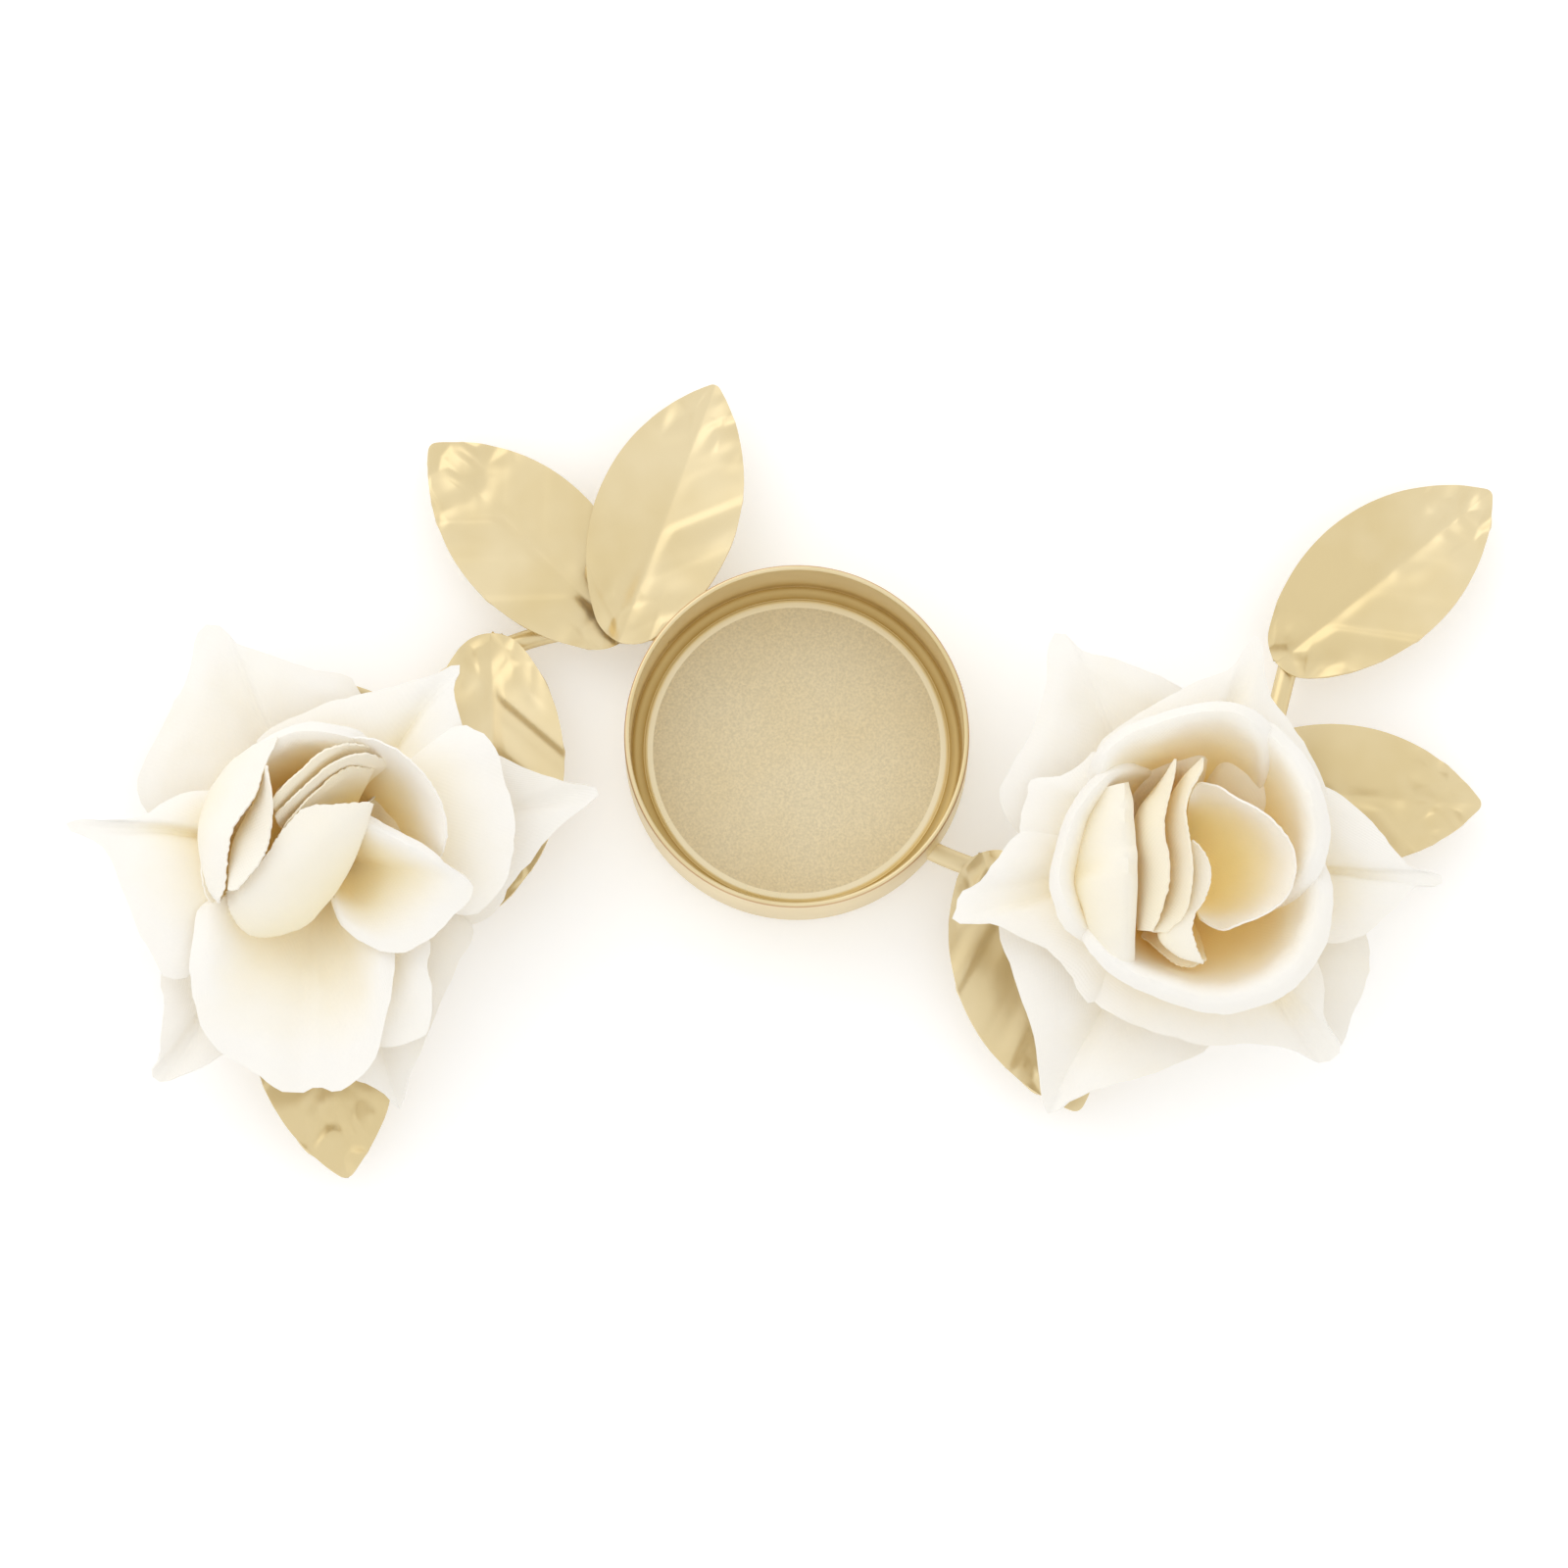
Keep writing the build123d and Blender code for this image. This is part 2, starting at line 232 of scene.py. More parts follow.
@dataclass(frozen=True)
class PetalCloth:
    """Plain-woven cotton stiffened with starch and brushed with dye.

    It gives the eye a matt ivory that some light comes through, and a warm yellow down in the rose. The real
    threads are 0.45 mm apart. They are drawn 0.55 mm apart, the finest that shows in the render.
    """

    name: str = "stiffened_woven_cotton"
    edge: str = "FCFAF5"
    blush: str = "FBF2D2"
    heart: str = "FAE8A6"
    thread: float = 0.55 * MM
    thread_depth: float = 0.014 * MM
    brush: float = 9 * MM
    unevenness: float = 0.12
    sheer: float = 0.12
    roughness: float = 0.85

    def make(self) -> Material:
        """Build the node material.

        Returns:
            The material.
        """
        material, tree = blank_material(self.name)
        weave = node(tree, "SeparateXYZ", Vector=node(tree, "UVMap", {"uv_map": "cut"}))
        waves = []
        for way in ("X", "Y"):
            turn = node(
                tree, "Math", {"operation": "MULTIPLY"}, in_0=weave.outputs[way],
                in_1=2 * math.pi / self.thread,
            )
            waves.append(node(tree, "Math", {"operation": "SINE"}, in_0=turn))
        cross = node(tree, "Math", {"operation": "MULTIPLY"}, in_0=waves[0], in_1=waves[1])
        bump = node(tree, "Bump", Height=cross, Strength=0.5, Distance=self.thread_depth)
        place = node(tree, "TexCoord").outputs["Object"]
        brush = node(tree, "TexNoise", Vector=place, Scale=1 / self.brush, Detail=4.0)
        uneven = node(tree, "MapRange", Value=brush, To_Min=-self.unevenness, To_Max=self.unevenness)
        depth = node(tree, "Attribute", {"attribute_name": "depth"}).outputs["Fac"]
        dyed = node(tree, "Math", {"operation": "ADD", "use_clamp": True}, in_0=depth, in_1=uneven)
        tint = node(tree, "ValToRGB", Fac=dyed)
        steps = tint.color_ramp.elements
        steps[0].color, steps[1].color = linear(self.edge), linear(self.heart)
        steps.new(0.5).color = linear(self.blush)
        shader = node(
            tree, "BsdfPrincipled", Base_Color=tint, Roughness=self.roughness, Sheen_Weight=0.2,
            Sheen_Roughness=0.5, Specular_IOR_Level=0.2, Normal=bump,
        )
        through = node(tree, "BsdfTranslucent", Color=tint, Normal=bump)
        cloth = node(tree, "MixShader", in_0=self.sheer, in_1=shader, in_2=through)
        node(tree, "OutputMaterial", Surface=cloth)
        return material


@dataclass(frozen=True)
class MouldedPlastic:
    """Injection-moulded polyethylene: a soft even colour with the faint mottle of the mould's texture."""

    name: str
    light: str
    deep: str
    mottle: float = 1.2 * MM
    mottle_depth: float = 0.02 * MM
    roughness: float = 0.5
    ior: float = 1.5

    def make(self) -> Material:
        """Build the node material.

        Returns:
            The material.
        """
        material, tree = blank_material(self.name)
        place = node(tree, "TexCoord").outputs["Object"]
        mottle = node(tree, "TexNoise", Vector=place, Scale=1 / self.mottle, Detail=3.0)
        colour = node(
            tree, "Mix", {"data_type": "RGBA"}, Factor=mottle, in_6=linear(self.deep), in_7=linear(self.light)
        ).outputs[2]
        bump = node(tree, "Bump", Height=mottle, Strength=0.4, Distance=self.mottle_depth)
        shader = node(
            tree, "BsdfPrincipled", Base_Color=colour, Roughness=self.roughness, IOR=self.ior, Normal=bump
        )
        node(tree, "OutputMaterial", Surface=shader)
        return material


# Shared mesh work

# Edges that bend more than this are shaded sharp
SHARP = math.radians(50)
# Points drawn on each span of a path before it is divided evenly
SPAN_POINTS = 13


def add_object(name: str, data: bpy.types.ID) -> bpy.types.Object:
    """Put a new object in the scene.

    Args:
        name: The object's name.
        data: Its mesh, lamp or camera data.

    Returns:
        The object.
    """
    made = bpy.data.objects.new(name, data)
    bpy.context.scene.collection.objects.link(made)
    return made


def finished(
    name: str, shell: Shell, materials: Sequence[Material], part: str, sheet: float = 0.0
) -> bpy.types.Object:
    """Turn a finished bmesh into a piece that stands for its CAD node.

    Args:
        name: The piece's name.
        shell: The bmesh, in metres and in place. It is freed.
        materials: Its materials, in the order of the faces' indices.
        part: The CAD node that it replaces.
        sheet: Thickness of an open sheet, given to it below its faces. Nought leaves a closed shell as it is.

    Returns:
        The new object.
    """
    for edge in shell.edges:
        edge.smooth = len(edge.link_faces) == 2 and edge.calc_face_angle(0.0) < SHARP
    for face in shell.faces:
        face.smooth = True
    mesh = bpy.data.meshes.new(name)
    shell.to_mesh(mesh)
    shell.free()
    for material in materials:
        mesh.materials.append(material)
    piece = add_object(name, mesh)
    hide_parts(part)
    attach(piece, "root")
    if sheet:
        wall = piece.modifiers.new("sheet", "SOLIDIFY")
        wall.thickness, wall.offset = sheet, -1.0
    LOG.info("%s: %d faces, for %s", name, len(mesh.polygons), part)
    return piece


def smooth_path(points: Sequence[Vector], count: int) -> list[Vector]:
    """Draw a smooth curve through points and divide it evenly.

    Args:
        points: The points that the curve goes through.
        count: How many points to return.

    Returns:
        Evenly spaced points from the first to the last.
    """
    fine = [points[0].copy()]
    last = len(points) - 1
    tangents = [(points[min(k + 1, last)] - points[max(k - 1, 0)]).normalized() for k in range(last + 1)]
    for k in range(last):
        third = (points[k + 1] - points[k]).length / 3
        handles = points[k] + tangents[k] * third, points[k + 1] - tangents[k + 1] * third
        fine += geometry.interpolate_bezier(points[k], *handles, points[k + 1], SPAN_POINTS)[1:]
    reach = [0.0]
    for before, after in zip(fine, fine[1:]):
        reach.append(reach[-1] + (after - before).length)
    even, spot = [], 0
    for k in range(count):
        wanted = reach[-1] * k / (count - 1)
        while spot < len(fine) - 2 and reach[spot + 1] < wanted:
            spot += 1
        gap = reach[spot + 1] - reach[spot]
        share = (wanted - reach[spot]) / gap if gap > 0 else 0.0
        even.append(fine[spot].lerp(fine[spot + 1], min(share, 1.0)))
    return even


def eased(share: float) -> float:
    """Ease a share from nought to one."""
    share = min(max(share, 0.0), 1.0)
    return share * share * (3 - 2 * share)


def heading_vector(heading: float) -> Vector:
    """Return the level unit vector along a heading in radians."""
    return Vector((math.cos(heading), math.sin(heading), 0.0))


def standing(place: Vector, axis: Vector) -> Matrix:
    """Return the matrix that sets a shape on a place with its own Z along an axis."""
    return Matrix.Translation(place) @ axis.to_track_quat("Z", "Y").to_matrix().to_4x4()


def face_up(shell: Shell) -> None:
    """Turn an open sheet's faces the same way, with most of them upwards.

    Args:
        shell: The sheet's bmesh.
    """
    bmesh.ops.recalc_face_normals(shell, faces=shell.faces)
    if sum(face.normal.z * face.calc_area() for face in shell.faces) < 0:
        bmesh.ops.reverse_faces(shell, faces=shell.faces)


# The pressed cup


class Zone(Enum):
    """Stretches of the cup's face that have a finish of their own, with their material index. The border's
    lighter colour is a painted highlight, and the groove's and rim edge's darker colours are painted shade.
    """

    WALL = 0
    PANEL = 1
    BORDER = 2
    GROOVE = 3
    EDGE = 4


@dataclass(frozen=True)
class CandleCup:
    """The pressed cup: wall, rounded corner, narrow foot ring and a floor panel raised off the table."""

    diameter: float = 43.0 * MM
    height: float = 16.0 * MM
    sheet: float = 0.7 * MM
    corner: float = 1.1 * MM
    panel: float = 37.8 * MM
    rise: float = 0.3 * MM
    border: float = 0.85 * MM
    weld: float = 0.002 * MM
    steps: int = 160
    corner_steps: int = 6

    def section(self) -> list[tuple[Pair, float]]:
        """Work out half the cup's section, from its axis round the wall and back.

        Returns:
            Each corner's place out and up, with its rounding.
        """
        outside, step = self.diameter / 2, self.panel / 2
        inside = outside - self.sheet
        return [
            ((0.0, self.rise), 0.0),
            ((step - self.sheet / 2, self.rise), self.sheet / 4),
            ((step - self.sheet / 2 + self.rise, 0.0), self.sheet / 4),
            ((outside, 0.0), self.corner + self.sheet),
            ((outside, self.height), self.sheet * 0.45),
            ((inside, self.height), self.sheet * 0.45),
            ((inside, self.sheet), self.corner),
            ((step + self.rise, self.sheet), self.sheet / 3),
            ((step, self.sheet + self.rise), self.sheet / 3),
            ((step - self.border, self.sheet + self.rise), 0.0),
            ((0.0, self.sheet + self.rise), 0.0),
        ]

    def zone(self, face: bmesh.types.BMFace) -> Zone:
        """Find the stretch of the cup that a face lies in.

        Args:
            face: A face of the finished cup.

        Returns:
            Its zone.
        """
        middle = face.calc_center_median()
        out, step = middle.xy.length, self.panel / 2
        if face.normal.z > 0.5 and middle.z < self.height / 2:
            if out < step - self.border:
                return Zone.PANEL
            return Zone.BORDER if out < step + self.rise else Zone.GROOVE
        if out > (self.diameter - self.sheet / 2) / 2 and middle.z > self.height - self.sheet / 2:
            return Zone.EDGE
        return Zone.WALL

    def build(self, finishes: dict[Zone, Material]) -> None:
        """Lathe the cup's section and round its corners.

        Args:
            finishes: The finish of each zone, with the border's painted highlight and the groove's and edge's
                painted shade among them.
        """
        shell = bmesh.new()
        section = self.section()
        chain = [shell.verts.new((out, 0.0, up)) for (out, up), _ in section]
        for pair in zip(chain, chain[1:]):
            shell.edges.new(pair)
        for vertex, (_, radius) in zip(chain, section):
            if radius > 0:
                bmesh.ops.bevel(
                    shell, geom=[vertex], offset=radius, offset_type="OFFSET", affect="VERTICES",
                    segments=self.corner_steps, profile=0.5, material=-1, clamp_overlap=False,
                )
        bmesh.ops.spin(
            shell, geom=shell.verts[:] + shell.edges[:], cent=(0.0, 0.0, 0.0), axis=UP, angle=2 * math.pi,
            steps=self.steps, use_merge=True,
        )
        bmesh.ops.remove_doubles(shell, verts=shell.verts, dist=self.weld)
        bmesh.ops.recalc_face_normals(shell, faces=shell.faces)
        for face in shell.faces:
            face.material_index = self.zone(face).value
        finished("pressed_cup", shell, [finishes[zone] for zone in Zone], "candle_cup")


# The branches


@dataclass(frozen=True)
class Leg:
    """One stretch of a wire: an arc to the left through an angle or, with no radius, a straight run."""

    start: Vector
    heading: float
    radius: float
    amount: float

    @property
    def length(self) -> float:
        """Length of the stretch."""
        return self.radius * self.amount if self.radius else self.amount

    @property
    def centre(self) -> Vector:
        """Centre of the arc."""
        return self.start + self.radius * Vector((-math.sin(self.heading), math.cos(self.heading), 0.0))

    def turned(self, angle: float) -> Vector:
        """Return the arc's point after a turn through an angle."""
        return self.centre + Matrix.Rotation(angle, 3, "Z") @ (self.start - self.centre)

    def at(self, along: float) -> Vector:
        """Return the point at a distance from the start."""
        straight = self.start + along * heading_vector(self.heading)
        return self.turned(along / self.radius) if self.radius else straight


@dataclass(frozen=True)
class BranchWire:
    """One bent wire: it leaves the cup's wall along a heading, takes its bends and ends in a straight tail.

    A bend is a radius in millimetres and a turn in degrees. The tail is in millimetres.
    """

    side: str
    wall_angle: float
    wall_heading: float
    bends: tuple[Pair, ...]
    tail: float
    cup_radius: float = 21.5 * MM
    height: float = 4.0 * MM
    radius: float = 1.25 * MM
    stub: float = 0.4 * MM
    end_round: float = 0.35 * MM
    end_steps: int = 4
    sides: int = 28
    degrees_a_step: float = 2.0

    def legs(self) -> list[Leg]:
        """Work out the wire's stretches.

        Returns:
            The stretches, from the cup's wall outwards.
        """
        angle, heading = math.radians(self.wall_angle), math.radians(self.wall_heading)
        spot = Vector((self.cup_radius * math.cos(angle), self.cup_radius * math.sin(angle), self.height))
        legs = []
        for bend, turn in self.bends:
            legs.append(Leg(spot, heading, bend * MM, math.radians(turn)))
            spot = legs[-1].turned(math.radians(turn))
            heading += math.radians(turn)
        return [*legs, Leg(spot, heading, 0.0, self.tail * MM)]

    def at(self, share: float) -> Vector:
        """Find a point on the wire's centre line.

        Args:
            share: How far along the wire, as a share of its length.

        Returns:
            The point, in metres.
        """
        *bent, tail = self.legs()
        left = share * (sum(leg.length for leg in bent) + tail.length)
        for leg in bent:
            if left <= leg.length:
                return leg.at(left)
            left -= leg.length
        return tail.at(left)

    def build(self, gold: Material) -> None:
        """Draw a round section along the legs, with its far end rounded over.

        Args:
            gold: The wire's finish.
        """
        legs = self.legs()
        ahead = heading_vector(legs[0].heading)
        shell = bmesh.new()
        place = standing(legs[0].start - self.stub * ahead, ahead)
        bmesh.ops.create_circle(shell, cap_ends=True, segments=self.sides, radius=self.radius, matrix=place)
        ring = self.pushed(shell, shell.edges[:], self.stub * ahead)
        for leg in legs:
            if leg.radius:
                steps = int(math.degrees(leg.amount) / self.degrees_a_step)
                swung = bmesh.ops.spin(
                    shell, geom=ring, cent=leg.centre, axis=UP, angle=leg.amount, steps=steps, use_merge=False
                )
                ring = [part for part in swung["geom_last"] if isinstance(part, bmesh.types.BMEdge)]
            else:
                ring = self.pushed(shell, ring, leg.amount * heading_vector(leg.heading))
        cap = bmesh.ops.contextual_create(shell, geom=ring)["faces"]
        bmesh.ops.recalc_face_normals(shell, faces=shell.faces)
        bmesh.ops.bevel(
            shell, geom=[edge for face in cap for edge in face.edges], offset=self.end_round,
            offset_type="OFFSET", affect="EDGES", segments=self.end_steps, profile=0.5, material=-1,
        )
        finished(f"{self.side}_wire", shell, [gold], f"{self.side}_branch")

    def pushed(self, shell: Shell, ring: list, step: Vector) -> list:
        """Extrude a ring of edges along a step.

        Args:
            shell: The wire's bmesh.
            ring: The edges.
            step: How far and which way.

        Returns:
            The new ring of edges.
        """
        made = bmesh.ops.extrude_edge_only(shell, edges=ring)["geom"]
        corners = [part for part in made if isinstance(part, bmesh.types.BMVert)]
        bmesh.ops.translate(shell, verts=corners, vec=step)
        return [part for part in made if isinstance(part, bmesh.types.BMEdge)]


# The leaves


@dataclass(frozen=True)
class Dent:
    """One soft hammer mark, longer than wide. Its place, radius and depth are in millimetres."""

    along: float
    across: float
    radius: float
    depth: float
    slant: float
    stretch: float = 1.9
    steepness: float = 1.6
    reach: float = 6.0

    def height(self, along: float, across: float) -> float:
        """Height that the mark adds at one place of the blade, in millimetres.

        Args:
            along: Place along the midrib.
            across: Place to one side of it.

        Returns:
            The height, nought beyond the mark's reach.
        """
        right, forward = across - self.across, along - self.along
        cosine, sine = math.cos(self.slant), math.sin(self.slant)
        lengthwise = (forward * cosine + right * sine) / (self.stretch * self.radius)
        sideways = (-forward * sine + right * cosine) / self.radius
        spread = lengthwise**2 + sideways**2
        return self.depth * math.exp(-self.steepness * spread) if spread < self.reach else 0.0


@dataclass(frozen=True)
class PressedLeaf:
    """One pressed leaf: a lens with a round base, a midrib groove, pleated side veins and soft dents.

    Its share is how far along the wire it sits. Lengths are in millimetres and angles in degrees, apart from
    the dents' turn, which is in radians.
    """

    name: str
    share: float
    heading: float
    overhang: float = 2.4
    lift: float = 0.0
    length: float = 34.6
    width: float = 17.9
    sheet: float = 0.5
    solder: float = 0.05
    base_round: float = 5.0
    tip_round: float = 1.0
    arch: float = 0.9
    dish: float = 1.0
    vein_pairs: int = 5
    vein_angle: float = 48.0
    vein_depth: float = 0.35
    rib_depth: float = 0.22
    facet_depth: float = 0.6
    dents: int = 14
    # Shares of the length that the dents lie between, in turn: by the tip, by the base and twice anywhere
    dent_zones: tuple[Pair, ...] = ((0.72, 0.95), (0.06, 0.3), (0.2, 0.85), (0.2, 0.85))
    dent_radius: Pair = (1.0, 2.4)
    dent_depth: Pair = (0.08, 0.22)
    dent_spread: float = 0.85
    dent_turn: float = 0.4
    weld: float = 0.004
    grid: tuple[int, int] = (150, 76)

    def side_arc(self) -> Pair:
        """Fit the arcs at the blade's sides, which touch the rounds at both its ends.

        Returns:
            Their radius and their centre's place along the midrib.
        """
        base, tip = self.base_round, self.tip_round
        span = self.length - base - tip
        radius, centre = self.length, self.length / 2
        # Each of the two hangs on the other, and thirty rounds settle them
        for _ in range(30):
            centre = (self.length + base - tip - (2 * radius - base - tip) * (base - tip) / span) / 2
            radius = ((centre - base) ** 2 + (self.width / 2) ** 2 - base**2) / (self.width - 2 * base)
        return radius, centre

    def half_width(self, along: float, side_arc: Pair) -> float:
        """Find half the blade's width at one place along the midrib.

        Args:
            along: The place, in millimetres from the base end.
            side_arc: Radius and centre of the side arcs.

        Returns:
            Half the width, in millimetres.
        """
        radius, centre = side_arc
        half = math.sqrt(radius**2 - (along - centre) ** 2) - radius + self.width / 2
        rounds = ((self.base_round, self.base_round), (self.tip_round, self.length - self.tip_round))
        for end_round, middle in rounds:
            # The end round takes over where it touches the side arc, on the line through both centres
            touch = middle + end_round * (middle - centre) / (radius - end_round)
            if (along - touch) * (middle - centre) > 0:
                half = math.sqrt(max(end_round**2 - (along - middle) ** 2, 0.0))
        return max(half, 0.0)

    def hammer_marks(self, side_arc: Pair) -> list[Dent]:
        """Scatter the leaf's soft dents.

        Args:
            side_arc: Radius and centre of the side arcs.

        Returns:
            The dents.
        """
        luck = random.Random(self.name)
        marks = []
        for k in range(self.dents):
            along = self.length * luck.uniform(*self.dent_zones[k % len(self.dent_zones)])
            across = self.half_width(along, side_arc) * luck.uniform(-self.dent_spread, self.dent_spread)
            slant = math.copysign(math.radians(self.vein_angle), across)
            slant += luck.uniform(-self.dent_turn, self.dent_turn)
            deep = luck.uniform(*self.dent_depth) * luck.choice((-1, 1))
            marks.append(Dent(along, across, luck.uniform(*self.dent_radius), deep, slant))
        return marks

    def side_vein(self, along: float, across: float) -> float:
        """Work out the pleats along the side veins, steep on one side. Some are deep and most hardly show.

        Args:
            along: Place along the midrib.
            across: Place to one side of it.

        Returns:
            The pleat's height at that place.
        """
        steep, gentle, root = 1.0, 2.8, 1.8
        deep, faint, deep_above = 1.15, 0.15, 0.45
        out, angle = abs(across), math.radians(self.vein_angle)
        pitch = self.length / self.vein_pairs
        count = (along - out / math.tan(angle)) / pitch
        vein = round(count)
        # The half steps keep the noise's cells from switching on their own borders
        luck = noise.cell(Vector((vein + 0.5, math.copysign(4.5, across), len(self.name) + self.heading)))
        own = deep * luck if luck > deep_above else faint
        gap = (count - vein) * pitch * math.sin(angle)
        pleat = max(0.0, 1 - gap / steep) if gap > 0 else max(0.0, 1 + gap / gentle)
        return self.vein_depth * own * eased(pleat) * eased(out / root)

    def midrib(self, along: float, across: float) -> float:
        """Work out the midrib, a soft valley that is worn in places and runs out before the tip.

        Args:
            along: Place along the midrib.
            across: Place to one side of it.

        Returns:
            The valley's depth at that place.
        """
        width, patch, run_in, run_out = 0.9, 4.5, 6.0, 12.0
        usual, more_or_less = 0.55, 0.9
        worn = usual + more_or_less * noise.noise(Vector((along / patch, self.heading, self.share)))
        valley = self.rib_depth * worn * math.exp(-((across / width) ** 2))
        return valley * eased(along / run_in) * eased((self.length - along) / run_out)

    def facets(self, along: float, across: float) -> float:
        """Work out the small facets that the sheet is crumpled into at the tip and round the solder.

        Args:
            along: Place along the midrib.
            across: Place to one side of it.

        Returns:
            The facets' height at that place.
        """
        facet_length, facet_width, ridge, run_out = 4.6, 3.4, 0.8, 3.0
        tip_from, tip_over, at_base, base_from, base_over = 0.7, 0.12, 0.8, 0.08, 0.2
        share = along / self.length
        crush = eased((share - tip_from) / tip_over) + at_base * (1 - eased((share - base_from) / base_over))
        if crush == 0:
            return 0.0
        # Each leaf reads the noise somewhere else
        spot = Vector((along / facet_length + self.heading, across / facet_width, self.share * 50))
        near, second = noise.voronoi(spot)[0][:2]
        swell = eased((second - near) / ridge) - 0.5
        return self.facet_depth * crush * swell * eased((self.length - along) / run_out)

    def relief(self, along: float, across: float, marks: Sequence[Dent]) -> float:
        """Add up the height of the blade's top face over its base at one place, in millimetres.

        Args:
            along: Place along the midrib.
            across: Place to one side of it.
            marks: The soft dents.

        Returns:
            The height.
        """
        half = self.length / 2
        height = self.arch * (1 - ((along - half) / half) ** 2)
        height += self.dish * abs(across) / (self.width / 2 + self.sheet)
        height += self.side_vein(along, across)
        height -= self.midrib(along, across)
        height += self.facets(along, across)
        for mark in marks:
            height += mark.height(along, across)
        return height

    def build(self, branch: BranchWire, gold: Material) -> None:
        """Press the leaf from a grid and set it on its wire.

        Args:
            branch: The wire that carries it.
            gold: The leaf's finish.
        """
        shell = bmesh.new()
        bmesh.ops.create_grid(shell, x_segments=self.grid[0], y_segments=self.grid[1], size=1.0)
        side_arc = self.side_arc()
        marks = self.hammer_marks(side_arc)
        for vertex in shell.verts:
            along = self.length * (1 + math.sin(vertex.co.x * math.pi / 2)) / 2
            across = vertex.co.y * self.half_width(along, side_arc)
            vertex.co = Vector((along, across, self.relief(along, across, marks))) * MM
        bmesh.ops.remove_doubles(shell, verts=shell.verts, dist=self.weld * MM)
        face_up(shell)
        turn = Matrix.Rotation(math.radians(self.heading), 3, "Z")
        lowest = Vector((0.0, 0.0, branch.radius + (self.solder + self.sheet + self.lift) * MM))
        bmesh.ops.translate(shell, verts=shell.verts, vec=(-self.overhang * MM, 0.0, 0.0))
        bmesh.ops.rotate(shell, verts=shell.verts, cent=(0.0, 0.0, 0.0), matrix=turn)
        bmesh.ops.translate(shell, verts=shell.verts, vec=branch.at(self.share) + lowest)
        finished(f"pressed_{self.name}", shell, [gold], self.name, self.sheet * MM)


# The roses

# A seed, so that the cloth's creases fall the same way in every run
CREASE_SEED = 7
# How far the creases' noise moves on for each petal, each letter of a layer's name and the second rose
PETAL_STEP, LETTER_STEP, ROSE_STEP = 3.7, 11.0, 40.0


class Form(Enum):
    """Side views of a petal from its root to its rim: shares of the way out and of the rise."""

    LYING = ((0.0, 0.0), (0.15, 0.3), (0.35, 0.68), (0.6, 0.95), (0.85, 1.06), (1.0, 1.0))
    FLARED = (
        (0.0, 0.0), (0.08, 0.06), (0.21, 0.38), (0.33, 0.66), (0.45, 0.85), (0.57, 0.96), (0.74, 1.04),
        (0.9, 1.04), (1.0, 1.0),
    )
    ROLLED = (
        (0.0, 0.0), (0.15, 0.08), (0.33, 0.21), (0.51, 0.4), (0.63, 0.6), (0.73, 0.83), (0.81, 1.06),
        (0.88, 1.14), (0.94, 1.11), (1.0, 1.0),
    )
    CUPPED = ((0.0, 0.0), (0.2, 0.08), (0.45, 0.24), (0.7, 0.52), (0.88, 0.82), (0.97, 0.97), (1.0, 1.0))
    RAISED = ((0.0, 0.0), (0.2, 0.4), (0.5, 0.82), (0.8, 1.04), (1.0, 1.0))


class Hold(Enum):
    """How a layer's cloth is held in shape."""

    GATHERED = "gathered"
    FOLDED = "folded"


@dataclass(frozen=True)
class Seat:
    """A layer's place on the leaning peg: its hub's middle, the peg's direction and its level's slope."""

    hub: Vector
    axis: Vector
    slope: Vector

    def rise(self, point: Vector) -> float:
        """How much higher the rose's own level is at a point than at the hub, in metres."""
        return self.slope.dot(point - self.hub)


